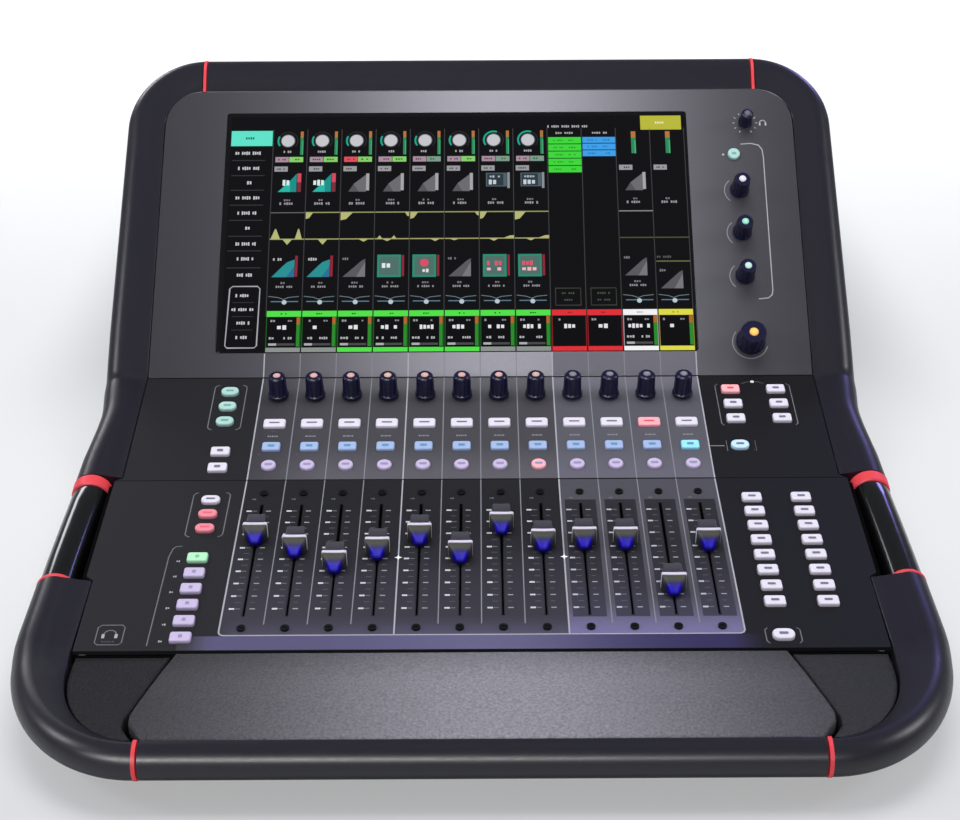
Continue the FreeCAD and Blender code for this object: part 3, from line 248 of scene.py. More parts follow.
def material(name, colour=None, *, rough, metal=0.0, specular=0.5, coat=0.0, coat_rough=0.08,
             grain=600, vary=0.12, rough_vary=0.08, stretch=None, bump=0.0, bump_grain=None,
             bump_depth=0.0004, glow=None, glow_strength=0.0, vertex_glow=0.0,
             x_stops=None, y_stops=None):
    """Principled finish. The base is one colour, a ramp along x (and y), or else the
    colours of the mesh; fine noise varies it and the roughness."""
    result = bpy.data.materials.new(name)
    result.use_nodes = True
    tree = result.node_tree
    tree.nodes.clear()
    output = add_node(tree, "ShaderNodeOutputMaterial")
    shader = add_node(tree, "ShaderNodeBsdfPrincipled", {
        "Metallic": metal, "Specular IOR Level": specular,
        "Coat Weight": coat, "Coat Roughness": coat_rough})
    tree.links.new(shader.outputs["BSDF"], output.inputs["Surface"])
    coordinates = add_node(tree, "ShaderNodeTexCoord")
    mapping = add_node(tree, "ShaderNodeMapping", {"Vector": coordinates.outputs["Object"]})
    if stretch:
        mapping.inputs["Scale"].default_value = stretch

    def noise_factor(scale, detail):
        return add_node(tree, "ShaderNodeTexNoise",
                        {"Scale": scale, "Detail": detail,
                         "Vector": mapping.outputs["Vector"]}).outputs["Fac"]

    fine = noise_factor(grain, 3.0)

    def around(middle, spread):
        return add_node(tree, "ShaderNodeMapRange",
                        {"To Min": middle - spread, "To Max": middle + spread,
                         "Value": fine}).outputs["Result"]

    if x_stops:
        base = place_ramp(tree, "X", x_stops)
        if y_stops:
            base = multiply_colours(tree, base, place_ramp(tree, "Y", y_stops))
    elif colour:
        base = (*colour, 1.0)
    else:
        base = vertex_colour(tree)
    variation = around(1.0, vary)
    grey = add_node(tree, "ShaderNodeCombineColor",
                    {channel: variation for channel in ("Red", "Green", "Blue")})
    tree.links.new(multiply_colours(tree, base, grey.outputs["Color"]),
                   shader.inputs["Base Color"])
    tree.links.new(around(rough, rough_vary), shader.inputs["Roughness"])
    if bump:
        relief = add_node(tree, "ShaderNodeBump",
                          {"Strength": bump, "Distance": bump_depth,
                           "Height": noise_factor(bump_grain or grain, 4.0)})
        tree.links.new(relief.outputs["Normal"], shader.inputs["Normal"])
    if vertex_glow:
        tree.links.new(vertex_colour(tree), shader.inputs["Emission Color"])
        shader.inputs["Emission Strength"].default_value = vertex_glow
    elif glow:
        shader.inputs["Emission Color"].default_value = (*glow, 1.0)
        shader.inputs["Emission Strength"].default_value = glow_strength
    return result


PANEL_SKIN = dict(grain=300, vary=0.05, bump=0.05, bump_grain=2500)
LEATHER = dict(grain=560, vary=0.62, bump=1.0, bump_grain=700, bump_depth=0.0012)

PAN = material("pan_paint", srgb("#1b1b1e"), rough=0.62, grain=900, bump=0.25,
               bump_grain=1400, specular=0.3)
# the dark panel paint changes along x as painted light and shade: lighter on the left, darker
# towards the right
PANEL_DARK = material(
    "panel_dark_paint_and_painted_shade", rough=0.52, specular=0.16, **PANEL_SKIN,
    x_stops=paint_stops((-300.0, (34, 34, 38)), (-160.0, (40, 40, 45)), (0.0, (36, 36, 40)),
                        (160.0, (29, 29, 33)), (300.0, (27, 27, 30))))
# the screen panel's grey carries a painted highlight, brightest in the middle
PANEL_GREY = material("panel_grey_paint_and_painted_highlight", rough=0.5, specular=0.2, **PANEL_SKIN,
                      x_stops=painted_highlight_stops((54, 53, 59), (172, 170, 179), 148.0, 18.0))
MOULDING = material("moulding_satin", paint(27, 25, 37), rough=0.34, grain=250, vary=0.06,
                    bump=0.04, bump_grain=2200)
# the armrest's colour carries a painted highlight along x, brightest in the middle, and darkens
# towards its back edge as painted shade
ARMREST = material(
    "armrest_skin", rough=0.62, specular=0.2, **LEATHER,
    x_stops=painted_highlight_stops((40, 39, 43), (156, 154, 163), 172.0, 15.0),
    y_stops=grey_stops((-300.0, 1.06), (-250.0, 1.04), (-232.0, 0.92), (-212.0, 0.62)))
# the insert colour changes along x as painted light and shade: darker towards the far sides and
# on the left
INSERT = material(
    "insert_skin", rough=0.66, specular=0.16, **LEATHER,
    x_stops=paint_stops((-300.0, (34, 34, 38)), (-200.0, (40, 40, 44)), (0.0, (56, 56, 60)),
                        (200.0, (58, 58, 62)), (300.0, (40, 40, 44))))
GLOSS = material("grip_gloss", srgb("#08080b"), rough=0.16, grain=120, vary=0.05,
                 rough_vary=0.03, coat=0.3, specular=0.4)
# the red accents glow faintly: painted light, they hold no lamp
RED = material("accent_red", srgb("#d8404a"), rough=0.42, grain=400, vary=0.05,
               glow=srgb("#e0454b"), glow_strength=0.10, specular=0.3)
BLACK = material("black_plastic", srgb("#101013"), rough=0.5, grain=500, vary=0.1,
                 specular=0.25)
STEEL = material("dark_plated_steel", srgb("#55555a"), rough=0.4, metal=0.9, grain=200,
                 vary=0.1, stretch=(1, 8, 1))
FADER_MECHANISM = material("fader_mechanism", srgb("#08080a"), rough=0.6, grain=400,
                           vary=0.1, specular=0.15)
BOARD = material("circuit_board", srgb("#14402a"), rough=0.45, grain=90, vary=0.35)
SCREW = material("screw_black", srgb("#121215"), rough=0.38, metal=0.5, grain=400, vary=0.1)
RUBBER = material("foot_rubber", srgb("#141414"), rough=0.85, grain=500, vary=0.1, bump=0.3)
GLASS = material("screen_glass", srgb("#050507"), rough=0.10, grain=40, vary=0.04,
                 rough_vary=0.02, coat=0.2, coat_rough=0.03, specular=0.25)
PICTURE = material("screen_picture", (0, 0, 0), rough=0.22, grain=40, vary=0.03,
                   rough_vary=0.02, vertex_glow=1.0, specular=0.12)
# the print glows faintly: painted light, it holds no lamp
PRINT = material("white_print", rough=0.55, grain=500, vary=0.08, vertex_glow=0.05,
                 specular=0.1)
# vertex colours of the panel sheet: panel tones with painted light, shade and reflections
PANEL_TONES_AND_LIGHT = material("painted_light_panel_tones", rough=0.5, grain=300, vary=0.04, bump=0.04,
                bump_grain=2500, specular=0.14)
KNOB = material("knob_navy", srgb("#0d0b30"), rough=0.3, grain=400, bump=0.08, coat=0.1,
                coat_rough=0.3, specular=0.4)
LIT = material("lit_part", rough=0.4, grain=500, vary=0.05, vertex_glow=0.12, specular=0.2)
KEY = material("key_caps", rough=0.42, grain=500, vary=0.04, vertex_glow=0.18, specular=0.2)
# the caps glow faintly with their vertex colours: painted light, they hold no lamp
CAP = material("fader_cap_paint", rough=0.38, grain=400, vary=0.06, vertex_glow=0.16,
               specular=0.12)
FLOOR = material("studio_floor", srgb("#c8cacc"), rough=0.8, grain=3, vary=0.015,
                 rough_vary=0.03, specular=0.1)
# A spare finish that no piece wears yet
material("socket_metal", srgb("#8a8a8e"), rough=0.35, metal=0.9, grain=300, vary=0.08)
# near-black finish of the strips that stand in for the shade in the gaps: painted shadow
GAP_SHADOW = material("shadow_gap", srgb("#060607"), rough=0.9, grain=300, vary=0.1, specular=0.05)


def light_floor_for_camera(tree):
    """The studio sweep as the camera sees it: white in the distance, darker close to the
    lens as painted shade, with a painted shadow pool behind the console. Lengths in the pool are
    in metres."""
    shader, output = tree.nodes["Principled BSDF"], tree.nodes["Material Output"]
    floor_glow_with_painted_shade = place_ramp(tree, "Y", grey_stops(
        (-420.0, 0.30), (-300.0, 0.33), (-200.0, 0.42), (0.0, 0.48),
        (300.0, 0.46), (600.0, 0.56), (1000.0, 0.80), (1400.0, 0.95)))
    point = position(tree)

    def rise(value, low, high):
        return add_node(tree, "ShaderNodeMapRange",
                        {"From Min": low, "From Max": high, "To Min": 0.0, "To Max": 1.0,
                         "Value": value},
                        interpolation_type="SMOOTHERSTEP").outputs["Result"]

    def fall(value, low, high):
        return maths(tree, "SUBTRACT", 1.0, rise(value, low, high))

    # painted shadow pool on the floor behind the console
    off_centre = maths(tree, "ABSOLUTE", maths(tree, "SUBTRACT", point["X"], 0.008))
    across = fall(off_centre, 0.29, 0.43)
    along = maths(tree, "MULTIPLY", rise(point["Y"], 0.10, 0.42), fall(point["Y"], 0.42, 0.82))
    pool = maths(tree, "MULTIPLY", across, along)
    glow_with_painted_shadow = multiply_colours(tree, floor_glow_with_painted_shade, (0.42, 0.42, 0.43, 1.0), pool)

    camera_ray = add_node(tree, "ShaderNodeLightPath").outputs["Is Camera Ray"]
    base = shader.inputs["Base Color"].links[0].from_socket
    darker = multiply_colours(tree, base, (0.62, 0.62, 0.635, 1.0), camera_ray)
    tree.links.new(darker, shader.inputs["Base Color"])
    emission = add_node(tree, "ShaderNodeEmission", {
        "Color": glow_with_painted_shadow, "Strength": maths(tree, "MULTIPLY", camera_ray, 1.0)})
    total = add_node(tree, "ShaderNodeAddShader",
                     {0: shader.outputs["BSDF"], 1: emission.outputs["Emission"]})
    tree.links.new(total.outputs["Shader"], output.inputs["Surface"])


light_floor_for_camera(FLOOR.node_tree)


# ------------------------------------------------------------------ mesh helpers
def add_piece(name, verts, faces, finish, slot, *, body="chassis", replaces=None, smooth=0,
              point_colours=None, face_colours=None):
    """Makes an object; smooth is the angle in degrees above which edges stay sharp."""
    mesh = bpy.data.meshes.new(name)
    mesh.from_pydata([tuple(v) for v in verts], [], [tuple(f) for f in faces])
    mesh.validate()
    piece = bpy.data.objects.new(name, mesh)
    bpy.context.scene.collection.objects.link(piece)
    mesh.materials.append(finish)
    if point_colours:
        domain, colours = "POINT", point_colours
    elif face_colours:
        domain = "CORNER"
        colours = [face_colours[p.index] for p in mesh.polygons for _ in p.vertices]
    if point_colours or face_colours:
        attribute = mesh.color_attributes.new("Col", "FLOAT_COLOR", domain)
        attribute.data.foreach_set("color", [v for c in colours for v in (*c, 1.0)])
    mesh.update()
    if smooth:
        mesh.shade_smooth()
        mesh.set_sharp_from_angle(angle=math.radians(smooth))
    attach(piece, body)
    if replaces:
        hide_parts(replaces)


def stack(rings):
    """Joins rings of equal length into a skin with both ends closed."""
    n, count = len(rings[0]), len(rings)
    verts = [tuple(point) for ring in rings for point in ring]
    faces = []
    for i in range(count - 1):
        for k in range(n):
            a, b = i * n + k, i * n + (k + 1) % n
            faces.append((a, b, b + n, a + n))
    faces.append(tuple(range((count - 1) * n, count * n)))
    faces.append(tuple(reversed(range(n))))
    return verts, faces


def join(parts):
    verts, faces = [], []
    for part_verts, part_faces in parts:
        n = len(verts)
        verts += part_verts
        faces += [tuple(i + n for i in face) for face in part_faces]
    return verts, faces


BOX_FACES = ((0, 3, 2, 1), (4, 5, 6, 7), (0, 1, 5, 4), (1, 2, 6, 5), (2, 3, 7, 6), (3, 0, 4, 7))


def box(low, high, locate):
    """Box between two corners (a, b, c); locate turns a corner into a point."""
    (a0, b0, c0), (a1, b1, c1) = low, high
    verts = [locate(a, b, c) for c in (c0, c1)
             for a, b in ((a0, b0), (a1, b0), (a1, b1), (a0, b1))]
    return verts, BOX_FACES


def facing(ring, side):
    """Turns a ring round on the left side, so that the skin faces outwards."""
    return ring if side > 0 else ring[::-1]


def rounded_rectangle(width, height, radius, steps=6):
    """Rounded rectangle about the origin, anticlockwise."""
    radius = max(0.05, min(radius, width / 2 - 0.01, height / 2 - 0.01))
    x, y = width / 2 - radius, height / 2 - radius
    points = []
    for cx, cy, start in ((x, y, 0), (-x, y, 90), (-x, -y, 180), (x, -y, 270)):
        for k in range(steps + 1):
            t = math.radians(start + 90.0 * k / steps)
            points.append((cx + radius * math.cos(t), cy + radius * math.sin(t)))
    return points


class FlatArt:
    """Flat coloured shapes on the panels; each face has its own vertices and colour."""

    def __init__(self):
        self.verts, self.faces, self.colours = [], [], []

    def polygon(self, panel, points, w, colour):
        n = len(self.verts)
        self.verts += [place(panel, x, s, w) for x, s in points]
        self.faces.append(tuple(range(n, len(self.verts))))
        self.colours.append(colour)

    def rect(self, panel, x0, s0, x1, s1, w, colour):
        self.polygon(panel, [(x0, s0), (x1, s0), (x1, s1), (x0, s1)], w, colour)

    def ribbon(self, panel, points, width, w, colour, closed=False):
        """Line of a given width through the points."""
        points = [Vector(p) for p in points]
        n = len(points)
        left, right = [], []
        for i in range(n):
            after = points[(i + 1) % n]
            if closed:
                along = after - points[i - 1]
            else:
                along = points[min(n - 1, i + 1)] - points[max(0, i - 1)]
            along = along.normalized()
            widen = 1.0
            if 0 < i < n - 1 or closed:
                widen = 1.0 / max(0.5, abs(along.dot((after - points[i]).normalized())))
            half = Vector((-along.y, along.x)) * (width / 2.0 * widen)
            left.append(points[i] + half)
            right.append(points[i] - half)
        for i in range(n if closed else n - 1):
            j = (i + 1) % n
            self.polygon(panel, [right[i], right[j], left[j], left[i]], w, colour)

    def disc(self, panel, x, s, radius, w, colour, segments=24):
        turns = [2 * math.pi * k / segments for k in range(segments)]
        self.polygon(panel, [(x + radius * math.cos(t), s + radius * math.sin(t))
                             for t in turns], w, colour)

    def arc(self, panel, x, s, inner, outer, start, end, w, colour, segments=24):
        """Part of a ring between two angles in degrees; segments make a full turn."""
        steps = int(segments * (end - start) / 360)
        turns = [math.radians(start + (end - start) * k / steps) for k in range(steps + 1)]
        for t0, t1 in zip(turns[:-1], turns[1:]):
            self.polygon(panel, [(x + r * math.cos(t), s + r * math.sin(t)) for r, t in
                                 ((inner, t0), (outer, t0), (outer, t1), (inner, t1))],
                         w, colour)

    def make(self, name, finish, slot):
        add_piece(name, self.verts, self.faces, finish, slot, face_colours=self.colours)


# --------------------------------------------------------------- frame mouldings
TUBE_W = -9.2                  # height of the tube's centre line over the panels
SCREEN_INNER = 248.6           # x where the side mouldings meet the screen panel
RAIL_DEPTH = 19.0              # from the panel edge to the reference line of the top rail
RAIL_S = SCREEN_LENGTH + 20.0
CORNER_RADIUS = 31.0           # inner radius of the rear corners


def section(centre, radius=13.0, lip=0.0):
    """Moulding section as (a, w): from the panel edge over the top of the tube and round
    to the inner underside. The number of points is always the same."""
    points = [(0.25, -3.0), (0.25 - lip, -0.35 + min(0.37, lip)),
              (0.7 - lip, 0.1 + min(0.2, lip))]
    start, end, low = 108.0, -96.0, 0.1
    top_a = centre + radius * math.cos(math.radians(start))
    top_w = TUBE_W + radius * math.sin(math.radians(start))
    for k in range(1, 9):      # soft inner flank that climbs to the tube
        t = k / 8.0
        climb = 0.35 * t + 0.65 * smooth_step(t, 0, 1)
        points.append((0.7 - lip + (top_a - 0.7 + lip) * t, low + (top_w - low) * climb))
    for k in range(1, 23):
        t = math.radians(start + (end - start) * k / 22.0)
        points.append((centre + radius * math.cos(t), TUBE_W + radius * math.sin(t)))
    bottom = TUBE_W - radius
    return points + [(6.0, bottom + 0.3), (1.2, bottom + 3.0), (0.25, -12.0)]


RAIL_SECTION = section(17.8, 12.0, 2.4)


def side_ring(panel, inner, centre, radius, s, side):
    """Section across a side moulding; inner and centre are x of its edge and tube."""
    return facing([place(panel, side * (inner + a), s, w)
                   for a, w in section(centre - inner, radius)], side)


def rail_ring(x):
    return [place(SCREEN, x, RAIL_S + (a - RAIL_DEPTH), w) for a, w in RAIL_SECTION]


def add_moulding(name, rings, replaces):
    add_piece(name, *stack(rings), MOULDING, "moulding", replaces=replaces, smooth=32)


# x of the tube centre as (s, x); beside the control panel it draws in towards the fold
CONTROL_TUBE = [(3.0, 270.1), (28.0, 268.9), (45.0, 267.1), (61.0, 265.5), (76.0, 264.5),
                (86.0, 264.9), (97.0, 266.2), (107.0, 267.3), (117.0, 267.8)]
SCREEN_TUBE = [(0.0, 267.9), (30.0, 268.3), (90.0, 267.6), (216.6, 266.2)]
FOLD_TUBE = 267.9


def add_rear_corner(side, tag):
    rings = [side_ring(CONTROL, SCREEN_INNER, interpolate(CONTROL_TUBE, s), 13.0, s, side)
             for s in (3.4, 15, 28, 45, 61, 72, 78, 82, 86, 91, 96, 101, 106, 112)]
    # mitre in the plane where the control panel meets the screen panel
    lean = math.tan(math.radians(SCREEN[2] - CONTROL[2]) / 2)
    rings.append(facing([place(SCREEN, side * (SCREEN_INNER + a), w * lean, w)
                         for a, w in section(FOLD_TUBE - SCREEN_INNER)], side))
    bend_s = RAIL_S - RAIL_DEPTH - CORNER_RADIUS
    for s in (6, 14, 40, 80, 120, 160, 190, 205, bend_s):
        rings.append(side_ring(SCREEN, SCREEN_INNER, interpolate(SCREEN_TUBE, s), 13.0, s, side))
    # the bend, in twentieths of a right angle; it stops short of the straight end
    for k in range(1, 19):
        share = k / 20.0
        t = math.radians(90.0 * share)
        ring = []
        for a, w in section(17.6 + 0.2 * share, 13.0 - share, 2.4 * share):
            reach = CORNER_RADIUS + a
            x = SCREEN_INNER - CORNER_RADIUS + reach * math.cos(t)
            ring.append(place(SCREEN, side * x, bend_s + reach * math.sin(t), w))
        rings.append(facing(ring, side))
    rings.append(facing(rail_ring(side * 221.0), side))
    add_moulding("rear_corner_%s" % tag, rings, "rear_corner_mouldings")


# Front corner: a sloped side part, then a flat elliptical bend with a wide shoulder
SHOULDER = 21.8
BEND = (194.5, -225.5)         # x, y about which the bend turns
TUBE_ELLIPSE_Y = -190.0
TUBE_RADII = (80.2, 111.2)
INNER_RADII = (53.2, 72.0)
SHOULDER_Z = (24.2, 36.6, 37.4)
# s, x of the tube centre, tube radius
FRONT_STATIONS = ((66.8, 273.4, 13.1), (50, 273.7, 13.1), (35, 274.0, 13.1),
                  (20, 274.3, 13.1), (10, 274.2, 13.0), (0, 273.3, 12.9))


def front_bend_ring(share, side):
    """Section of the flat bend; share is 0 at the side and 1 at the front."""
    t = math.radians(90.0 * share)
    ux, uy = math.cos(t), -math.sin(t)
    radius, tube_z = 12.8 - share, 27.5 + 0.7 * share
    inner = 1.0 / math.sqrt((ux / INNER_RADII[0]) ** 2 + (uy / INNER_RADII[1]) ** 2)
    # where this direction crosses the ellipse of the tube's centre line
    rx, ry = TUBE_RADII
    dy = BEND[1] - TUBE_ELLIPSE_Y
    a2, a1, a0 = (ux / rx) ** 2 + (uy / ry) ** 2, 2 * dy * uy / ry ** 2, (dy / ry) ** 2 - 1
    tube = (-a1 + math.sqrt(a1 * a1 - 4 * a2 * a0)) / (2 * a2)
    profile = section(SHOULDER, radius)
    ring = []
    for i, (a, w) in enumerate(profile):
        z = tube_z + (w - TUBE_W)
        reach = tube + (a - SHOULDER)
        if a <= SHOULDER:
            reach = inner + (a / SHOULDER) * (tube - inner)
        if a < SHOULDER and w > TUBE_W:
            # shoulder and flank: nearly level, then over the tube
            if i < len(SHOULDER_Z):
                z = SHOULDER_Z[i]
            else:
                climb = max(0.0, min(1.0, (reach - inner) / (tube - inner))) ** 0.8
                z = SHOULDER_Z[-1] + (tube_z + radius - SHOULDER_Z[-1]) * climb
        elif a < SHOULDER:
            z = 24.0 if i == len(profile) - 1 else max(z, tube_z - radius)
        ring.append(metres((BEND[0] + reach * ux) * side, BEND[1] + reach * uy, z))
    return facing(ring, side)


def add_front_corner(side, tag):
    rings = [side_ring(FADER, 249.7 - 0.6 * s / 80.0, centre, radius, s, side)
             for s, centre, radius in FRONT_STATIONS]
    rings += [front_bend_ring(k / 24.0, side) for k in range(25)]
    rings.append([(side * 196.1 * MM, y, z) for _, y, z in rings[-1]])
    add_moulding("front_corner_%s" % tag, rings, "front_corner_mouldings")


NOSE_Y, NOSE_Z, NOSE_RADIUS = -301.2, 28.2, 11.8


def nose_profile():
    """Section of the front rail as (y, z)."""
    points = [(-298.6, 24.0), (-298.6, 38.9), (-299.3, 39.7)]
    for k in range(23):
        t = math.radians(94.0 + 176.0 * k / 22.0)
        points.append((NOSE_Y + NOSE_RADIUS * math.cos(t), NOSE_Z + NOSE_RADIUS * math.sin(t)))
    return points + [(-286.6, 16.2), (-286.2, 16.6), (-286.2, 24.0)]


for side, tag in SIDES:
    add_rear_corner(side, tag)
add_moulding("top_rail", [rail_ring(x) for x in (216.9, 150, 75, 0, -75, -150, -216.9)],
             "rear_rail")
for side, tag in SIDES:
    add_front_corner(side, tag)
add_moulding("front_nose", [[metres(x, y, z) for y, z in nose_profile()]
                            for x in (-191.8, -120, -60, 0, 60, 120, 191.8)], "front_rail")


# -------------------------------------------------------- grips and red accents
def tube_ring(panel, x, s, radius, segments):
    turns = [2 * math.pi * k / segments for k in range(segments)]
    return [place(panel, x + radius * math.cos(t), s, TUBE_W + radius * math.sin(t))
            for t in reversed(turns)]


# panel, x, s along the grip's centre line
GRIP_PATH = ((FADER, 272.7, 70.4), (FADER, 272.7, 72.0), (FADER, 272.4, 92),
             (FADER, 271.3, 127), (FADER, 270.4, 150), (FADER, 270.0, 162),
             (CONTROL, 269.6, -8.0))


def add_grip(side, tag):
    rings = [tube_ring(panel, side * x, s, 12.45, 48) for panel, x, s in GRIP_PATH]
    add_piece("side_grip_%s" % tag, *stack(rings), GLOSS, "grip_gloss",
              replaces="side_handles", smooth=40)


def add_accent(name, rings, smooth=32):
    add_piece(name, *stack(rings), RED, "accent_red", replaces="accent_rings", smooth=smooth)


def add_collar(name, panel, x, start, end, radius, bevel):
    profile = ((start, radius - 1.6), (start, radius - bevel), (start + bevel, radius),
               (end - bevel, radius), (end, radius - bevel), (end, radius - 1.6))
    add_accent(name, [tube_ring(panel, x, s, r, 64) for s, r in profile], smooth=40)


def add_top_seam(side, tag):
    """Thin band round the top rail, a little prouder than its section."""
    centre, grow = 17.8, 0.04
    band = []
    for a, w in RAIL_SECTION:
        wide_a = a + (0.0 if a < 3 else (a - centre) * grow)
        wide_w = w + (0.0 if w < -15 else (w - TUBE_W) * grow)
        band.append((RAIL_S + min(wide_a - RAIL_DEPTH, 13.0), min(wide_w, 3.78)))
    add_accent("top_seam_%s" % tag, [[place(SCREEN, side * 219.0 + dx, s, w) for s, w in band]
                                     for dx in (1.1, -1.1)])


def add_front_seam(side, tag):
    """Thin band round the nose; only its round front stands proud."""
    band = []
    for y, z in nose_profile():
        dy, dz = y - NOSE_Y, z - NOSE_Z
        reach = math.hypot(dy, dz)
        if y < -299.0 and reach > NOSE_RADIUS - 0.6:
            grow = (NOSE_RADIUS + 0.35) / reach
            y, z = NOSE_Y + dy * grow, NOSE_Z + dz * grow
        band.append((y, z))
    add_accent("front_seam_%s" % tag, [[metres(side * 194.0 + dx, y, z) for y, z in band]
                                       for dx in (-1.15, 1.15)])


for side, tag in SIDES:
    add_grip(side, tag)
for side, tag in SIDES:
    add_collar("collar_low_%s" % tag, FADER, side * 273.1, 67.3, 69.9, 13.5, bevel=0.5)
    add_collar("collar_high_%s" % tag, CONTROL, side * 269.9, -7.4, 2.6, 13.6, bevel=0.9)
    add_top_seam(side, tag)
    add_front_seam(side, tag)

# ------------------------------------------------------------------- the armrest
PAD_FRONT, PAD_BACK = -298.0, -210.7
PAD_ROWS, PAD_COLUMNS = 46, 110
PAD_EDGE = 2.4                 # radius of the rolled edge
# (y, half width) and (y, z of the top); the last rows at the back sit 0.1 lower
PAD_HALF = [(-298.0, 191.3), (-296.0, 192.6), (-283.0, 201.3), (-275.0, 202.0),
            (-212.0, 186.0), (-210.7, 185.7)]
PAD_TOP = [(-298.0, 38.7), (-288.0, 39.6), (-262.0, 39.8), (-235.0, 38.8), (-211.0, 36.9),
           (-210.9, 36.8)]


def add_armrest():
    """Soft skin over the pad with a skirt below its rim."""
    verts, faces = [], []
    row = PAD_COLUMNS + 1
    for j in range(PAD_ROWS + 1):
        y = PAD_FRONT + (PAD_BACK - PAD_FRONT) * (0.5 - 0.5 * math.cos(math.pi * j / PAD_ROWS))
        half = interpolate(PAD_HALF, y)
        for i in range(row):
            x = half * -math.cos(math.pi * i / PAD_COLUMNS)
            edge = min(half - abs(x), y - PAD_FRONT, PAD_BACK - y)
            drop = 0.0
            if edge < PAD_EDGE:
                q = 1 - edge / PAD_EDGE
                drop = PAD_EDGE * (1 - math.sqrt(max(0.0, 1 - q * q)))
            wave = 0.12 * noise.noise(Vector((x * 0.02, y * 0.03, 1.0)))
            verts.append(metres(x, y, min(39.88, interpolate(PAD_TOP, y) - drop + wave)))
    for j in range(PAD_ROWS):
        for i in range(PAD_COLUMNS):
            a = j * row + i
            faces.append((a, a + 1, a + row + 1, a + row))
    rim = list(range(row))
    rim += [(j + 1) * row - 1 for j in range(1, PAD_ROWS + 1)]
    rim += [PAD_ROWS * row + i for i in range(PAD_COLUMNS - 1, -1, -1)]
    rim += [j * row for j in range(PAD_ROWS - 1, 0, -1)]
    base, n = len(verts), len(rim)
    for k in rim:
        x, y, _ = verts[k]
        verts.append((x, y, (31.0 if y / MM < -284.8 else 25.2) * MM))
    for k in range(n):
        faces.append((rim[(k + 1) % n], rim[k], base + k, base + (k + 1) % n))
    add_piece("armrest_skin", verts, faces, ARMREST, "armrest_skin",
              replaces="armrest_pad", smooth=60)


def insert_outline():
    """Outline (x, y) of the right corner insert, with a point about every 4 mm."""
    corners = [(188.9, -211.4), (204.9, -275.6), (204.4, -284.0), (197.6, -295.2)]
    for k in range(2, 25):
        t = math.radians(-90.0 + 90.0 * k / 24)
        corners.append((BEND[0] + 52.4 * math.cos(t), BEND[1] + 71.2 * math.sin(t)))
    corners.append((246.8, -211.4))
    points = []
    for (x0, y0), (x1, y1) in zip(corners, corners[1:] + corners[:1]):
        steps = max(1, int(math.hypot(x1 - x0, y1 - y0) / 4.0))
        points += [(x0 + (x1 - x0) * k / steps, y0 + (y1 - y0) * k / steps)
                   for k in range(steps)]
    return points


def moved_in(outline, distance):
    points = []
    for i, (x, y) in enumerate(outline):
        along = Vector(outline[(i + 1) % len(outline)]) - Vector(outline[i - 1])
        along = along.normalized()
        points.append((x - along.y * distance, y + along.x * distance))
    return points


def insert_z(y):
    return 37.4 + (y + 311.0) / 111.0 * (33.5 - 37.4)


def add_insert(side, tag):
    """Corner insert: a wall, a rolled edge, then rings that close in on a hub."""
    outline = insert_outline()
    inner = moved_in(outline, 1.1)
    rings = [(outline, -1.3), (moved_in(outline, 0.2), -0.7),
             (moved_in(outline, 0.6), -0.22), (inner, 0.0)]
    hub_x, hub_y = 222.0, -262.0
    for k in (0.85, 0.65, 0.45, 0.25, 0.08):
        rings.append(([(hub_x + (x - hub_x) * k, hub_y + (y - hub_y) * k)
                       for x, y in inner], 0.0))
    loops = [[metres(side * x, y, 24.3) for x, y in outline]]
    loops += [[metres(side * x, y, insert_z(y) + lift) for x, y in ring]
              for ring, lift in rings]
    add_piece("armrest_insert_%s" % tag, *stack([facing(loop, side) for loop in loops]),
              INSERT, "armrest_skin", replaces="armrest_corners", smooth=50)


def add_gap_shadow():
    """Dark strips that paint the shadow in the gaps between the fader panel, the armrest and the
    mouldings.
    """
    parts = [box(low, high, metres) for low, high in (
        ((-249.0, -210.9, 29.0), (249.0, -208.4, 33.6)),
        ((178.0, -299.0, 23.0), (228.0, -262.0, 24.0)),
        ((-228.0, -299.0, 23.0), (-178.0, -262.0, 24.0)))]
    inner, outer = (50.4, 69.2), (54.6, 73.4)
    for side, _ in SIDES:
        for k in range(36):
            corners = []
            for at, (rx, ry) in ((k, inner), (k, outer), (k + 1, outer), (k + 1, inner)):
                t = math.radians(-92.0 + 103.0 * at / 36.0)
                corners.append(metres(side * (BEND[0] + rx * math.cos(t)),
                                      BEND[1] + ry * math.sin(t), 30.0))
            parts.append((facing(corners, side), [(0, 1, 2, 3)]))
    for side, _ in SIDES:
        # boxes along the fader panel, as x, w, s
        for low, high in (((253.9, -13.0, 71.5), (257.2, -3.2, 172.0)),
                          ((249.5, -14.2, 1.0), (261.5, -12.8, 172.0))):
            parts.append(box(low, high, lambda x, w, s: place(FADER, side * x, s, w)))
    add_piece("armrest_gap_painted_shadow", *join(parts), GAP_SHADOW, "panel_dark")


add_armrest()
for side, tag in SIDES:
    add_insert(side, tag)
add_gap_shadow()

# -------------------------------------------------------------------------- keys
WHITE = srgb("#cfcad8")
LILAC = srgb("#b7aacb")
BLUE = srgb("#94a8cf")
CYAN = srgb("#8fd6f4")
MINT = srgb("#9fc4bf")
ROSE = srgb("#d8808f")
GREEN = srgb("#a6dcb8")
MARK = srgb("#6a6a78")
MINT_MARK = srgb("#6f9a93")
ROSE_MARK = srgb("#d2606e")
KEY_TOP = 2.3


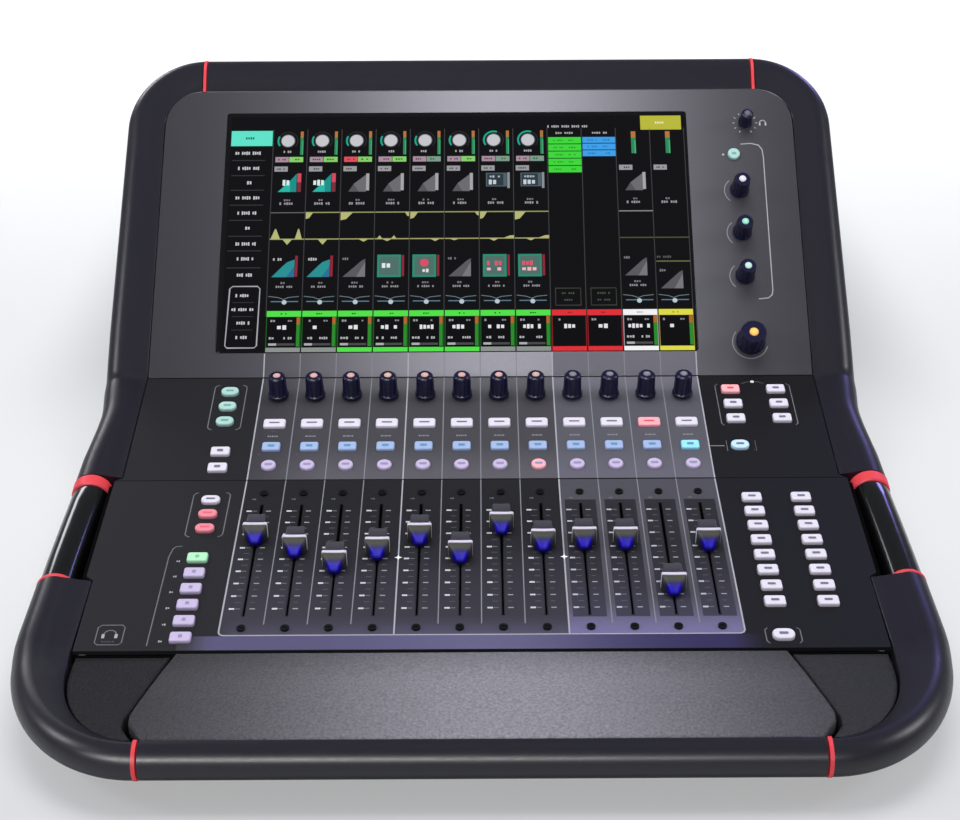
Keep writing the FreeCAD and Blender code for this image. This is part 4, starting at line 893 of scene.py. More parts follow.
def key_cap(panel, x, s, size, corner, colour, mark, mark_colour=MARK):
    """Cap with a rolled edge and a shallow dish, plus a flat printed mark.
    size and mark are (width, height)."""
    # the sides and the rolled edge are darker copies of the key colour: painted shade
    dark, edge = scaled(colour, 0.45), scaled(colour, 0.80)
    # inset, w, colour
    profile = ((0.0, -7.9, dark), (0.0, -0.6, dark), (0.0, KEY_TOP - 1.1, edge),
               (0.18, KEY_TOP - 0.55, edge), (0.6, KEY_TOP - 0.15, colour),
               (1.2, KEY_TOP, colour), (2.4, KEY_TOP - 0.12, colour),
               (3.2, KEY_TOP - 0.16, colour))
    rings, colours = [], []
    for inset, w, ring_colour in profile:
        outline = rounded_rectangle(size[0] - 2 * inset, size[1] - 2 * inset,
                                    max(0.2, corner - inset))
        rings.append([place(panel, x + dx, s + ds, w) for dx, ds in outline])
        colours += [ring_colour] * len(outline)
    verts, faces = stack(rings)
    outline = rounded_rectangle(*mark, min(mark) * 0.3, 3)
    n = len(verts)
    verts += [place(panel, x + dx, s + ds, KEY_TOP - 0.02) for dx, ds in outline]
    faces.append(tuple(range(n, len(verts))))
    colours += [mark_colour] * len(outline)
    return verts, faces, colours


def add_keys(node, slot, caps):
    add_piece(node + "_caps", *join([cap[:2] for cap in caps]), KEY, slot, body=node,
              replaces=node, smooth=30, point_colours=[c for cap in caps for c in cap[2]])


def strip_keys(s, size, corner, mark, colour, mark_colour, odd, odd_colour, odd_mark):
    """One key per strip on the control panel; the strip numbered odd has its own colours."""
    return [key_cap(CONTROL, x, s, size, corner, odd_colour if i == odd else colour, mark,
                    odd_mark if i == odd else mark_colour) for i, x in enumerate(STRIPS)]


OVAL, SQUARE = (13.0, 9.5), (13.5, 9.0)

add_keys("mute_keys", "key_white", strip_keys(
    61.0, (16.0, 9.5), 2.0, (7.5, 1.6), WHITE, MARK, 10, srgb("#f0a0aa"), srgb("#d04a58")))
add_keys("select_keys", "key_blue", strip_keys(
    35.0, (13.0, 9.0), 1.8, (4.8, 2.6), BLUE, srgb("#5d86a8"), 11, CYAN, srgb("#5d86a8")))
add_keys("pafl_keys", "key_lilac", strip_keys(
    14.6, (10.5, 10.5), 5.2, (5.4, 2.4), LILAC, srgb("#8d86a6"), 7, srgb("#f0a6b4"),
    srgb("#8d86a6")))
add_keys("left_control_keys", "key_mint",
         [key_cap(CONTROL, -184.8, s, OVAL, 4.5, MINT, (5.4, 2.2), MINT_MARK)
          for s in (99.1, 81.7, 64.3)] +
         [key_cap(CONTROL, -184.0, s, SQUARE, 1.8, WHITE, (4.4, 2.8)) for s in (30.2, 12.7)])
add_keys("right_control_keys", "key_white",
         [key_cap(CONTROL, x, s, SQUARE, 1.8, colour, (4.8, 2.4), mark_colour)
          for x, s, colour, mark_colour in (
              (184.6, 99.3, srgb("#f6a8ae"), srgb("#d2525e")), (184.6, 82.15, WHITE, MARK),
              (184.6, 65.0, WHITE, MARK), (218.0, 99.3, WHITE, MARK),
              (218.0, 82.15, WHITE, MARK), (218.0, 65.0, WHITE, MARK))] +
         [key_cap(CONTROL, 183.8, 34.8, OVAL, 4.5, srgb("#b7d6ee"), (5.6, 2.2))])
LEFT_COLUMN = [11.5 + 15.42 * k for k in range(6)]
add_keys("left_fader_keys", "key_lilac",
         [key_cap(FADER, -184.0, s, (13.0, 8.5), 4.0, colour, (6.2, 1.8), mark_colour)
          for s, colour, mark_colour in ((150.5, WHITE, MARK), (135.0, ROSE, ROSE_MARK),
                                         (119.5, ROSE, ROSE_MARK))] +
         [key_cap(FADER, -184.6, s, SQUARE, 1.8, LILAC, (2.6, 3.0), srgb("#8a86a6"))
          for s in LEFT_COLUMN[:-1]] +
         [key_cap(FADER, -184.6, LEFT_COLUMN[-1], SQUARE, 1.8, GREEN, (2.6, 3.0),
                  srgb("#77b58c"))])
add_keys("right_fader_keys", "key_white",
         [key_cap(FADER, x, 42.8 + 15.4 * k, SQUARE, 1.8, WHITE, (5.2, 2.2))
          for x in (184.3, 217.8) for k in range(8)] +
         [key_cap(FADER, 185.0, 11.6, (14.0, 9.5), 4.5, WHITE, (5.6, 2.4))])
add_keys("talk_key", "key_mint",
         [key_cap(SCREEN, 200.0, 186.8, (9.6, 9.6), 4.7, MINT, (3.6, 2.0), MINT_MARK)])

# ------------------------------------------------------------------------- knobs
KNOB_BASE = 1.55               # w of the underside
FLUTES, FLUTE_DEPTH = 14, 0.42


def lathe(panel, x, s, profile, segments, fluted=()):
    """Turned body from (radius, w) rings; the fluted rings get grooves."""
    rings = []
    for i, (radius, w) in enumerate(profile):
        ring = []
        for k in range(segments):
            t = 2 * math.pi * k / segments
            r = radius
            if i in fluted:
                r -= FLUTE_DEPTH * (0.5 - 0.5 * math.cos(t * FLUTES))
            ring.append(place(panel, x + r * math.cos(t), s + r * math.sin(t), w))
        rings.append(ring)
    return stack(rings)


def add_knob(node, panel, x, s, lit, glow, *, foot=7.5, crown=6.3, height=18.5,
             lit_share=0.44):
    """Knob with radii foot and crown; lit_share of the crown is a domed light whose colour
    goes from lit at the rim to glow at the middle."""
    low, top, lens = KNOB_BASE, KNOB_BASE + height, crown * lit_share
    profile = ((foot - 0.9, low), (foot - 0.15, low), (foot - 0.02, low + 0.3),
               (foot - 0.02, low + 1.6), (foot - 0.35, low + 2.1), (foot - 0.75, low + 2.6),
               (foot - 0.8, low + 3.2), (crown + 0.12, top - 3.2), (crown - 0.25, top - 1.5),
               (crown - 1.2, top - 0.5), (lens + 0.15, top - 0.25), (lens, top - 0.55))
    add_piece(node + "_body", *lathe(panel, x, s, profile, 112, fluted=(6, 7)), KNOB,
              "knob_navy", body=node, replaces=node, smooth=38)
    lit, glow = srgb(lit), srgb(glow)
    segments = 32
    profile, colours = [(lens - 0.05, top - 1.0)], [scaled(lit, 0.55)] * segments
    for k in range(7):
        share = k / 6.0
        t = share * math.pi / 2
        profile.append(((lens - 0.05) * math.cos(t * 0.94), top - 0.5 + 0.75 * math.sin(t)))
        colours += [tuple(a * (1 - share) + b * share for a, b in zip(lit, glow))] * segments
    add_piece(node + "_light", *lathe(panel, x, s, profile, segments), LIT, "knob_navy",
              body=node, smooth=60, point_colours=colours)


# the last four knobs are unlit: their grey tops still glow faintly and are lighter in the
# middle, painted glow and painted highlight
CHANNEL_LIGHTS = ["#b98a88", "#b88c86", "#b58a86", "#b89c86",
                  "#b99480", "#b58a80", "#b88f84", "#b69284"] + ["#5d5a66"] * 4
for i, (x, lit) in enumerate(zip(STRIPS, CHANNEL_LIGHTS)):
    add_knob("channel_knob_%02d" % (i + 1), CONTROL, x, 94.0, lit,
             "#cfa8a4" if i < INPUTS else "#85828f", crown=6.2, lit_share=0.46)
for i, (lit, glow) in enumerate((("#c9c4c8", "#d8d4da"), ("#5fae9c", "#a9e2d0"),
                                 ("#9fc4bb", "#c4e0d8"))):
    add_knob("soft_knob_%d" % (i + 1), SCREEN, SOFT_X, SOFT_S[i], lit, glow)
add_knob("phones_knob", SCREEN, *PHONES, "#3a3948", "#6a687a", foot=5.6, crown=4.7,
         height=14.0, lit_share=0.6)
add_knob("main_knob", SCREEN, *MAIN, "#e0a040", "#ffd27a", foot=11.0, crown=9.6,
         height=19.0, lit_share=0.36)

# -------------------------------------------------------------------- fader caps
CAP_PLACES = [108.8, 95.6, 79.4, 93.0, 107.5, 89.0, 118.8, 100.5, 102.4, 102.1, 55.7, 100.6]
# s from the cap's middle, half width, w of the top
CAP_STATIONS = [
    (-9.3, 2.2, 3.4), (-9.1, 2.5, 4.0), (-8.2, 3.0, 5.4), (-6.8, 3.9, 7.4), (-5.2, 5.1, 9.3),
    (-3.4, 6.6, 11.2), (-1.5, 7.75, 12.7), (-1.35, 7.97, 13.3), (-0.8, 7.97, 13.57),
    (0.5, 7.97, 13.57), (1.0, 7.97, 13.3), (1.3, 7.9, 12.5), (2.4, 6.7, 12.1),
    (5.4, 6.3, 11.6), (8.4, 6.1, 11.7), (11.2, 6.0, 12.0), (12.2, 5.8, 11.4),
    (12.45, 5.5, 10.4)]
CAP_RIDGE = (7, 8, 9, 10)      # stations of the white ridge
CAP_WHITE, CAP_REAR, CAP_OLIVE = srgb("#c4bed0"), srgb("#34333a"), srgb("#4c4d44")
# violet and blue on the front face of the caps are painted reflections of coloured light
CAP_VIOLET_REFLECTION, CAP_BLUE_REFLECTION = srgb("#2c2766"), srgb("#1a07b4")


def cap_colour(ds):
    """Colour of the cap off its ridge, ds up the slope from the middle. The rear lightens
    towards the back as painted light, violet and blue are painted reflections, and the tip is
    darkened as painted shade.
    """
    if ds > 1.4:
        return scaled(CAP_REAR, 0.9 + 0.7 * min(1.0, (ds - 1.5) / 9.0))
    if ds > -3.6:
        return CAP_OLIVE
    if ds > -5.4:
        return CAP_VIOLET_REFLECTION
    return CAP_BLUE_REFLECTION if ds > -9.0 else scaled(CAP_BLUE_REFLECTION, 0.25)


def add_fader_cap(node, x, s):
    low, round_ = 1.7, 0.9
    rings, colours = [], []
    for j, (ds, half, top) in enumerate(CAP_STATIONS):
        flank = [(half, low), (half, low + (top - low) * 0.5), (half, top - round_),
                 (half - round_ * 0.3, top - round_ * 0.3), (half - round_, top),
                 (half * 0.5, top - 0.12)]
        ring = [(-a, w) for a, w in flank] + [(0, top - 0.18)] + flank[::-1]
        rings.append([place(FADER, x + a, s + ds, w) for a, w in ring])
        # the two lowest points of each flank are darkened as painted shade; the ridge keeps its
        # upper one
        if j in CAP_RIDGE:
            flank_colours = [scaled(CAP_WHITE, 0.55)] + [CAP_WHITE] * 5
            middle = CAP_WHITE
        else:
            middle = cap_colour(ds)
            flank_colours = [scaled(middle, 0.3)] * 2 + [middle] * 4
        colours += flank_colours + [middle] + flank_colours[::-1]
    verts, faces = stack(rings)
    add_piece(node + "_cap", verts, [face[::-1] for face in faces], CAP, "cap_grey",
              body=node, replaces=node, smooth=30, point_colours=colours)
    lever = [box(low_corner, high_corner, lambda a, b, w: place(FADER, x + a, s + b, w))
             for low_corner, high_corner in (((-0.5, -3.0, -11.0), (0.5, 3.0, 2.2)),
                                             ((-3.6, -6.0, -12.2), (3.6, 6.0, -7.6)))]
    add_piece(node + "_lever", *join(lever), BLACK, "cap_grey", body=node)


for i, (x, s) in enumerate(zip(STRIPS, CAP_PLACES)):
    add_fader_cap("fader_cap_%02d" % (i + 1), x, s)

# ---------------------------------------------------------------- screen picture
# Lifts are thousandths of a millimetre above the lowest layer; they order the layers.
picture = FlatArt()


def lifted(lift):
    return 0.402 + 0.001 * lift


def bar(x0, s0, x1, s1, colour, lift=4):
    picture.rect(SCREEN, x0, s0, x1, s1, lifted(lift), srgb(colour))


def shape(points, colour, lift=12):
    picture.polygon(SCREEN, points, lifted(lift), srgb(colour))


def stroke(points, width, colour, lift=10, closed=False):
    picture.ribbon(SCREEN, points, width, lifted(lift), srgb(colour), closed)


def dot(x, s, radius, colour, lift, segments=24):
    picture.disc(SCREEN, x, s, radius, lifted(lift), srgb(colour), segments)


def word(x, s, width, height, colour, blocks=None, lift=12):
    """A row of small blocks standing in for a word, some left out."""
    blocks = blocks or max(2, int(width / 1.6))
    step = width / blocks
    for k in range(blocks):
        if (k * 7 + int(abs(x) * 3) + int(s)) % 5 == 4:
            continue
        half = height * (0.75 + 0.25 * ((k * 5 + int(abs(s) * 2)) % 3) / 2.0) / 2
        left = x - width / 2
        bar(left + k * step, s - half, left + (k + 0.72) * step, s + half, colour, lift)


def draw_background():
    """Backing, the column of tabs on the left, and the lines between strips."""
    bar(-195.5, 20.6, 162.2, 222.2, "#0f0f12", 0)
    bar(-195.4, 196.3, -162.9, 209.8, "#5fe3c9")
    word(-179.5, 203.2, 9, 2.2, "#1c6f60", lift=8)
    for k, (s, width) in enumerate(((189.9, 22), (176.5, 17), (163.8, 6), (150.6, 19),
                                    (137.4, 15), (124.4, 6), (110.9, 16), (98.2, 13),
                                    (84.5, 12))):
        word(-180.6 + 0.1 * k, s, width, 2.9, "#c4c4c8")
    for s in (183.5, 170.1, 157.3, 144.3, 131.2, 117.5, 105.0, 90.6):
        bar(-194, s - 0.35, -168, s + 0.35, "#3a3a3e")
    stroke([(-188.5, 75.0), (-169.5, 75.0), (-167.6, 73.0), (-168.4, 26.0), (-170.2, 24.2),
            (-190.6, 24.2), (-192.2, 26.0), (-190.6, 73.0)], 0.8, "#a9a9ae", closed=True)
    for s, width in ((67.3, 12), (55.7, 17), (44.6, 12), (32.8, 9)):
        word(-180.0, s, width, 2.6, "#c4c4c8")
    for s in (61.6, 50.0, 38.9):
        bar(-188, s - 0.25, -172, s + 0.25, "#3a3a3e")
    for i in range(13):
        x = -162.2 + 26.98 * i
        bar(x - 0.35, 50.0, x + 0.35, 211.0, "#3c3c40")


def draw_gain(i, x):
    """Dial with two small buttons below it."""
    for inner, outer, start, end, lift, colour in (
            (7.4, 8.2, -40, 220, 6, "#2a2a2e"),
            (7.0, 8.4, 150 if i < 6 else 70, 215, 8, "#1fa88e")):
        picture.arc(SCREEN, x - 2, 200.7, inner, outer, start, end, lifted(lift),
                    srgb(colour))
    dot(x - 2, 200.7, 5.1, "#c6c6cc", 10)
    dot(x - 2, 200.7, 5.9, "#55555a", 9)
    word(x - 2, 191.0, 6.5, 2.0, "#a8a8ac")
    bar(x - 11.4, 181.8, x - 0.9, 186.4, "#e2505c" if i == 2 else "#a88e9c")
    bar(x - 0.5, 181.8, x + 10.4, 186.4, "#86cf6a" if i in (0, 1, 2, 3, 5) else "#7d9a8b")
    word(x - 6, 184.1, 6.5, 1.5, "#5a4a54", lift=8)
    word(x + 5, 184.1, 6.0, 1.5, "#3f6a34", lift=8)


def draw_meter(i, x):
    left, width, top = (x + 7.8, 2.3, 209) if i < INPUTS else (x - 1.6, 3.6, 207.7)
    bar(left, 188.2, left + width, top - 5.5, "#2f8a5c")
    bar(left, top - 5.5, left + width, top, "#b5763c")
    bar(left + width * 0.7, 188.2, left + width, top - 8, "#48b07a", 8)
    bar(x - 11.8, 173.5, x - 1.4, 178.0, "#9a9a9e")
    word(x - 6.5, 175.7, 6.5, 1.5, "#4a4a4e", lift=8)


def draw_gate(i, x):
    if i in (0, 1):
        shape([(x - 8.6, 155.6), (x + 5.8, 155.6), (x + 5.8, 171.5), (x + 1.0, 165.6)],
              "#1d8f8a", 6)
        shape([(x - 8.6, 155.6), (x + 1.0, 155.6), (x + 1.0, 165.0)], "#2ab5a5", 7)
        bar(x + 6.3, 155.6, x + 9.4, 171.8, "#7c2f3c", 8)
        bar(x + 6.3, 164.0, x + 9.4, 171.8, "#d8485c", 12)
        word(x - 3.5, 163.6, 9, 5.0, "#d8efe8", 3, lift=16)
    elif i in (6, 7):
        bar(x - 8.2, 159.5, x + 8.0, 171.5, "#4f6068")
        bar(x - 7.2, 160.3, x + 5.4, 170.7, "#2e3a42", 8)
        word(x - 1.0, 168.2, 8.5, 2.0, "#a9b6bc", 4)
        word(x - 1.0, 163.4, 10, 4.2, "#c6d0d6", 3)
        bar(x + 8.4, 158.0, x + 10.4, 171.8, "#8a8f94", 8)
    else:
        shape([(x - 7.6, 155.6), (x + 6.2, 155.6), (x + 6.2, 170.5), (x - 3.4, 162.5)],
              "#6c6c70", 6)
        shape([(x - 7.6, 155.6), (x + 0.5, 155.6), (x - 3.4, 162.5)], "#55555a", 7)
        bar(x + 6.2, 156.6, x + 8.6, 171.5, "#a6a6aa", 8)


# Input strips 1 to 7: shelf width (negative on the right), shelf depth, notch x, notch depth
CURVES = {1: (5.6, 5.6, 0.5, 4.2), 2: (9.5, 6.8, 5.0, 2.0), 3: (-3.2, 3.6, -3.8, 1.6),
          4: (6.0, 5.8, 6.2, 1.8), 5: (-3.0, 3.2, -6, 1.2), 6: (5.5, 6.2, -2.5, 1.8),
          7: (8.5, 7.0, -1, 1.6)}
CURVE = "#b5b779"


def draw_equaliser(i, x):
    """Labels, base lines and, on the inputs, the filled parts of a curve."""
    is_input = i < INPUTS
    word(x - 0.8, 148.4, 5.5, 1.6, "#7b7b80")
    word(x - 0.6, 145.4, 12.5, 2.2, "#97979c")
    bar(x - 13.2, 114.3, x + 13.2, 115.2, "#a3a46a" if is_input else "#55553a", 8)
    if i == 0:
        bar(x - 13.2, 137.2, x + 13.2, 137.9, "#6c6c70", 8)
        for dx, half in ((-9.0, 3.6), (8.8, 2.7)):
            shape([(x + dx - half, 115.0), (x + dx + half, 115.0), (x + dx + 0.4, 123.5),
                   (x + dx - 0.4, 123.5)], CURVE)
        shape([(x - 3.4, 114.6), (x + 0.1, 110.2), (x + 0.5, 110.2), (x + 4.0, 114.6)], CURVE)
    elif i != 11:
        bar(x - 13.2, 137.2, x + 13.2, 138.1, "#9b9c66" if is_input else "#8a8a8e", 8)
    if i in CURVES:
        width, depth, notch, notch_depth = CURVES[i]
        end = x - math.copysign(13.0, width)
        shape([(end, 137.6), (end, 137.6 - depth), (end + width * 0.45, 137.6 - depth * 0.85),
               (end + width, 137.6)], CURVE)
        middle = x + notch
        shape([(middle - 3.6, 114.5), (middle - 0.2, 114.5 - notch_depth),
               (middle + 0.4, 114.5 - notch_depth), (middle + 3.6, 114.5)], CURVE)
    if i == 3:
        for dx in (-9.5, 1.5):
            shape([(x + dx - 2, 115.0), (x + dx + 2, 115.0), (x + dx, 117.6)], CURVE)
    if i in (6, 7):
        shape([(x + 5, 115.0), (x + 13.2, 115.0), (x + 13.2, 117.2), (x + 10, 117.0)], CURVE)


def draw_compressor(i, x):
    if i in (0, 1):
        shape([(x - 10.8, 82.6), (x + 6.6, 82.6), (x + 6.6, 97.4), (x + 1.0, 95.2),
               (x - 2.5, 91.8)], "#2a8f92", 6)
        shape([(x + 0.5, 82.6), (x + 6.6, 82.6), (x + 6.6, 92.0)], "#2a6f94", 7)
        bar(x + 7.0, 83.0, x + 9.0, 100.6, "#93263a", 8)
        word(x - 6.5, 97.6, 7, 2.6, "#b9b9be")
    elif i in (3, 4, 6, 7):
        bar(x - 11.0, 82.2, x + 7.2, 101.2, "#2c8c72")
        bar(x - 9.4, 83.8, x + 5.6, 99.6, "#4f6f69", 8)
        if i == 3:
            word(x - 1.9, 92.0, 11, 4.6, "#e8e8ea", 3)
        elif i == 4:
            dot(x - 1.9, 94.2, 3.2, "#e04a66", 14)
            word(x - 1.9, 87.6, 8, 3.0, "#e8dede", 3)
        else:
            word(x - 1.9, 93.6, 12, 4.0, "#e0566c", 4)
            word(x - 1.9, 88.6, 12, 3.0, "#f0b8c0", 3)
        bar(x + 7.8, 83.0, x + 9.6, 100.8, "#93263a", 8)
    else:
        drop = -11.0 if i == 11 else 0.0
        low = 82.6 + drop
        shape([(x - 10.4, low), (x + 6.8, low), (x + 6.8, 97.8 + drop),
               (x + 3.8, 96.0 + drop)], "#5a5a5e", 6)
        shape([(x, low), (x + 6.8, low), (x + 6.8, 95.0 + drop)], "#77777b", 7)
        word(x - 7.5, 97.8 + drop, 6.5, 2.2, "#77777c")
    if i != 11:
        word(x - 0.8, 77.7, 5.5, 1.6, "#7b7b80")
        word(x - 0.6, 74.5, 13, 1.8, "#8f8f94")
    else:
        bar(x - 13.0, 94.0, x + 13.0, 95.0, "#6b6b42", 8)
        word(x - 6, 98.2, 13, 2.0, "#55555a")


def draw_panorama(x):
    stroke([(x - 12.4, 66.6), (x - 5, 65.6), (x - 1.0, 64.0), (x + 3, 65.6),
            (x + 10.8, 66.4)], 0.55, "#6f7f86")
    stroke([(x - 10.4, 62.2), (x + 10.4, 62.2)], 0.8, "#5f7f92", 12)
    dot(x - 0.2, 61.6, 1.9, "#b9c9d2", 14, segments=12)


def draw_group(i, x):
    """Coloured rows and an empty frame on strips 8 and 9."""
    low, rows, colour, ink = ((171.2, 5, "#3fd63c", "#2a9a28") if i == 8 else
                              (185.4, 3, "#3f9fe8", "#2a78b8"))
    height = (203.2 - low) / rows
    for k in range(rows):
        bar(x - 13.0, low + height * k + 0.35, x + 12.9, low + height * (k + 1) - 0.35, colour)
        word(x - 5, low + height * (k + 0.5), 8, 1.4, ink, lift=8)
        word(x + 6, low + height * (k + 0.5), 6, 1.4, ink, lift=8)
    word(x, 206.6, 14, 1.8, "#a8a8ac")
    stroke([(x - 9.8, 58.0), (x + 9.4, 58.0), (x + 9.4, 72.2), (x - 9.8, 72.2)], 0.6,
           "#3f4238", closed=True)
    word(x, 68.0, 10, 1.6, "#4a4d46")
    word(x, 62.4, 10, 1.6, "#4a4d46")


# Width and number of blocks of each strip's name
STRIP_NAMES = ((8, 2), (8, 2), (8, 2), (13, 4), (14, 5), (13, 4),
               (13, 4), (14, 5), (12, 4), (8, 2), (17, 6), (8, 2))
# Bright and dark colour of the name box
INPUT_BOX, GROUP_BOX = ("#52e04a", "#1e5a22"), ("#e03038", "#8c1f24")
BOX_COLOURS = [INPUT_BOX] * INPUTS + [GROUP_BOX] * 2 + [("#f2f2f4", "#9a9aa0"),
                                                        ("#dcd94a", "#8f8c30")]


def draw_name_box(i, x):
    """Box at the foot of a strip with its name and, off the groups, a meter."""
    bright, dark = BOX_COLOURS[i]
    bar(x - 13.0, 49.6, x + 13.0, 54.4, bright, 8)
    word(x, 52.0, 5, 1.2, dark)
    bar(x - 13.2, 20.7, x + 13.2, 49.6, "#0c0c0f")
    bar(x - 13.2, 24.4, x - 12.5, 49.6, dark, 8)
    bar(x + 12.5, 24.4, x + 13.2, 49.6, dark, 8)
    bar(x - 13.0, 20.7, x + 13.0, 24.3, "#8c928f" if i in (0, 1, 6, 7) else bright, 8)
    word(x - 8.0, 46.2, 4.0, 1.8, "#9a9aa0")
    width, blocks = STRIP_NAMES[i]
    word(x - 0.8, 40.8, width, 3.6, "#e4e4e8", blocks)
    if i in (8, 9):
        return
    word(x + 5.0, 46.2, 3.6, 1.4, "#8a8a90")
    bar(x + 9.8, 25.2, x + 12.3, 43.5, "#2c8a2c", 12)
    bar(x + 9.8, 43.5, x + 12.3, 49.2, "#b5642c", 12)
    if i != 11:
        word(x - 7.6, 32.0, 6.2, 2.0, "#b4b4b8")
        word(x + 3.6, 32.0, 6.6, 2.0, "#b4b4b8")
        bar(x - 11.0, 26.0, x - 5.0, 27.8, "#b0b0b4", 12)
        bar(x - 5.0, 26.0, x + 8.8, 27.8, "#4a4a4e", 12)


def draw_strip(i, x):
    if i < INPUTS:
        draw_gain(i, x)
    if i in (8, 9):
        draw_group(i, x)
    else:
        draw_meter(i, x)
        if i != 11:
            draw_gate(i, x)
        draw_equaliser(i, x)
        draw_compressor(i, x)
        draw_panorama(x)
    draw_name_box(i, x)


def add_glass():
    """Glass plate with a rolled edge, from rings of (inset, w)."""
    rings = []
    for inset, w in ((0.0, -1.15), (0.0, 0.18), (0.12, 0.32), (0.45, 0.395), (1.5, 0.398)):
        outline = rounded_rectangle(363.2 - 2 * inset, 205.2 - 2 * inset, 2.3, 8)
        rings.append([place(SCREEN, -17.65 + x, 123.0 + y, w) for x, y in outline])
    add_piece("glass_plate", *stack(rings), GLASS, "screen_glass", replaces="touch_glass",
              smooth=40)


draw_background()
for i in range(12):
    draw_strip(i, -148.6 + PITCH * i)
word(70.0, 212.5, 32, 2.2, "#a8a8ac")
bar(127.6, 209.2, 159.8, 221.8, "#b9b83e")
word(143.7, 215.5, 9, 2.0, "#e6e6c0", lift=8)
picture.make("screen_picture", PICTURE, "screen_glass")
add_glass()

# --------------------------------------------------------------- printed artwork
art = FlatArt()
PRINT_W = 0.035
LINE = srgb("#a2a2ab")
THIN_LINE = srgb("#7f7f88")
SOFT = srgb("#6c6c73")
FAINT = srgb("#55555b")
PALE = srgb("#a4a4aa")
BRIGHT = srgb("#b4b4bc")
RING = srgb("#8d8d95")


def line(panel, points, width=0.75, colour=LINE, closed=False):
    art.ribbon(panel, points, width, PRINT_W, colour, closed)


def patch(panel, x0, s0, x1, s1, colour):
    art.rect(panel, x0, s0, x1, s1, PRINT_W, colour)


def tiny_text(panel, x, s, width, height, colour=SOFT, blocks=None):
    blocks = blocks or max(1, int(width / 1.5))
    step = width / blocks
    for k in range(blocks):
        half = height * (0.7 + 0.3 * ((k * 3 + int(abs(s))) % 2)) / 2
        left = x - width / 2
        patch(panel, left + k * step, s - half, left + (k + 0.7) * step, s + half, colour)


def bracket(panel, side, x, s0, s1, bend):
    """Thin bracket beside a group of keys, with rounded ends."""
    turns = [math.radians(22.5 * k) for k in range(5)]
    curve = [(x - side * bend * (1 - math.sin(t)), bend * (1 - math.cos(t))) for t in turns]
    line(panel, [(px, s0 + rise) for px, rise in curve] +
         [(px, s1 - rise) for px, rise in reversed(curve)], 0.7, SOFT)


def print_strip_lines():
    """Lines between the strips over all three panels; the outer ones turn in in front."""
    for i in range(13):
        x = STRIPS[0] - PITCH / 2 + PITCH * i
        outer, group = i in (0, 12), i in (4, 8)
        width, colour = (0.95, LINE) if outer or group else (0.7, THIN_LINE)
        line(SCREEN, [(x, 19.8), (x, 0.7)], width, colour)
        line(CONTROL, [(x, 116.3), (x, 0.4)], width, colour)
        if outer:
            inward = 1 if i == 0 else -1
            line(FADER, [(x, 173.4), (x, 17.0), (x + inward * 0.9, 14.9),
                         (x + inward * 3.0, 14.0), (x + inward * 8, 14.0)], width, colour)
        else:
            line(FADER, [(x, 173.4), (x, 14.0 if group else 24.0)], width, colour)
    line(FADER, [(-154.2, 14.0), (154.2, 14.0)], 0.95)


def print_stars():
    """A wide and a tall diamond crossed, on both group lines."""
    for x in (-54.0, 54.0):
        for dx, ds, lift in ((2.6, 1.2, 0.01), (0.9, 2.8, 0.012)):
            art.polygon(FADER, [(x - dx, 88.8), (x, 88.8 - ds), (x + dx, 88.8), (x, 88.8 + ds)],
                        PRINT_W + lift, srgb("#f0f0f4"))


SCALE = (138.8, 126.3, 113.8, 99.5, 87.7, 75.6, 63.4, 51.1, 38.8)


def print_scales():
    """Fader scales and the small texts of each strip."""
    for i, x in enumerate(STRIPS):
        bright = srgb("#c2c2c8" if i < INPUTS else "#b0aebc")
        for s in SCALE:
            patch(FADER, x - 9.8, s - 0.75, x - 6.4, s + 0.75, bright)
            patch(FADER, x - 5.9, s - 0.35, x - 2.9, s + 0.35, SOFT)
            patch(FADER, x + 3.2, s - 0.45, x + 6.6, s + 0.45, srgb("#96969c"))
        for above, below in zip(SCALE[:-1], SCALE[1:]):
            s = (above + below) / 2
            patch(FADER, x - 6.6, s - 0.3, x - 2.9, s + 0.3, FAINT)
            patch(FADER, x + 3.2, s - 0.3, x + 5.8, s + 0.3, FAINT)
        tiny_text(FADER, x - 6.0, 152.0, 3.0, 1.4)
        tiny_text(CONTROL, x, 47.9, 7.5, 1.5, srgb("#8a8a92"), 5)
        tiny_text(CONTROL, x, 53.6, 3.0, 0.8, FAINT)
        tiny_text(CONTROL, x - 7.8, 27.8, 1.6, 1.0, FAINT)


def print_left_groups():
    bracket(FADER, -1, -196.4, 111.6, 159.6, 3.2)
    bracket(FADER, 1, -171.4, 111.6, 159.6, 3.2)
    bracket(CONTROL, -1, -196.6, 55.8, 108.0, 3.4)
    bracket(CONTROL, 1, -173.0, 55.8, 108.0, 3.4)
    line(FADER, [(-196.2, 101.6), (-200.0, 101.2), (-202.0, 99.0), (-203.6, 90.0),
                 (-204.4, 5.0)], 0.7, SOFT)
    for s in LEFT_COLUMN:
        tiny_text(FADER, -196.6, s - 2.5, 2.6, 1.8, PALE, 2)
    # framed arch with two feet
    line(FADER, [(-236.8, 8.2), (-236.8, 22.0), (-234.8, 24.2), (-222.0, 24.2),
                 (-220.2, 22.0), (-220.2, 8.2), (-222.0, 6.2), (-234.8, 6.2)], 0.6, SOFT,
         closed=True)
    art.arc(FADER, -228.5, 15.6, 3.4, 4.2, 0, 180, PRINT_W, SOFT)
    patch(FADER, -233.4, 12.2, -231.6, 16.0, PALE)
    patch(FADER, -225.4, 12.2, -223.6, 16.0, PALE)
    tiny_text(FADER, -228.5, 9.0, 8.0, 0.9, FAINT)


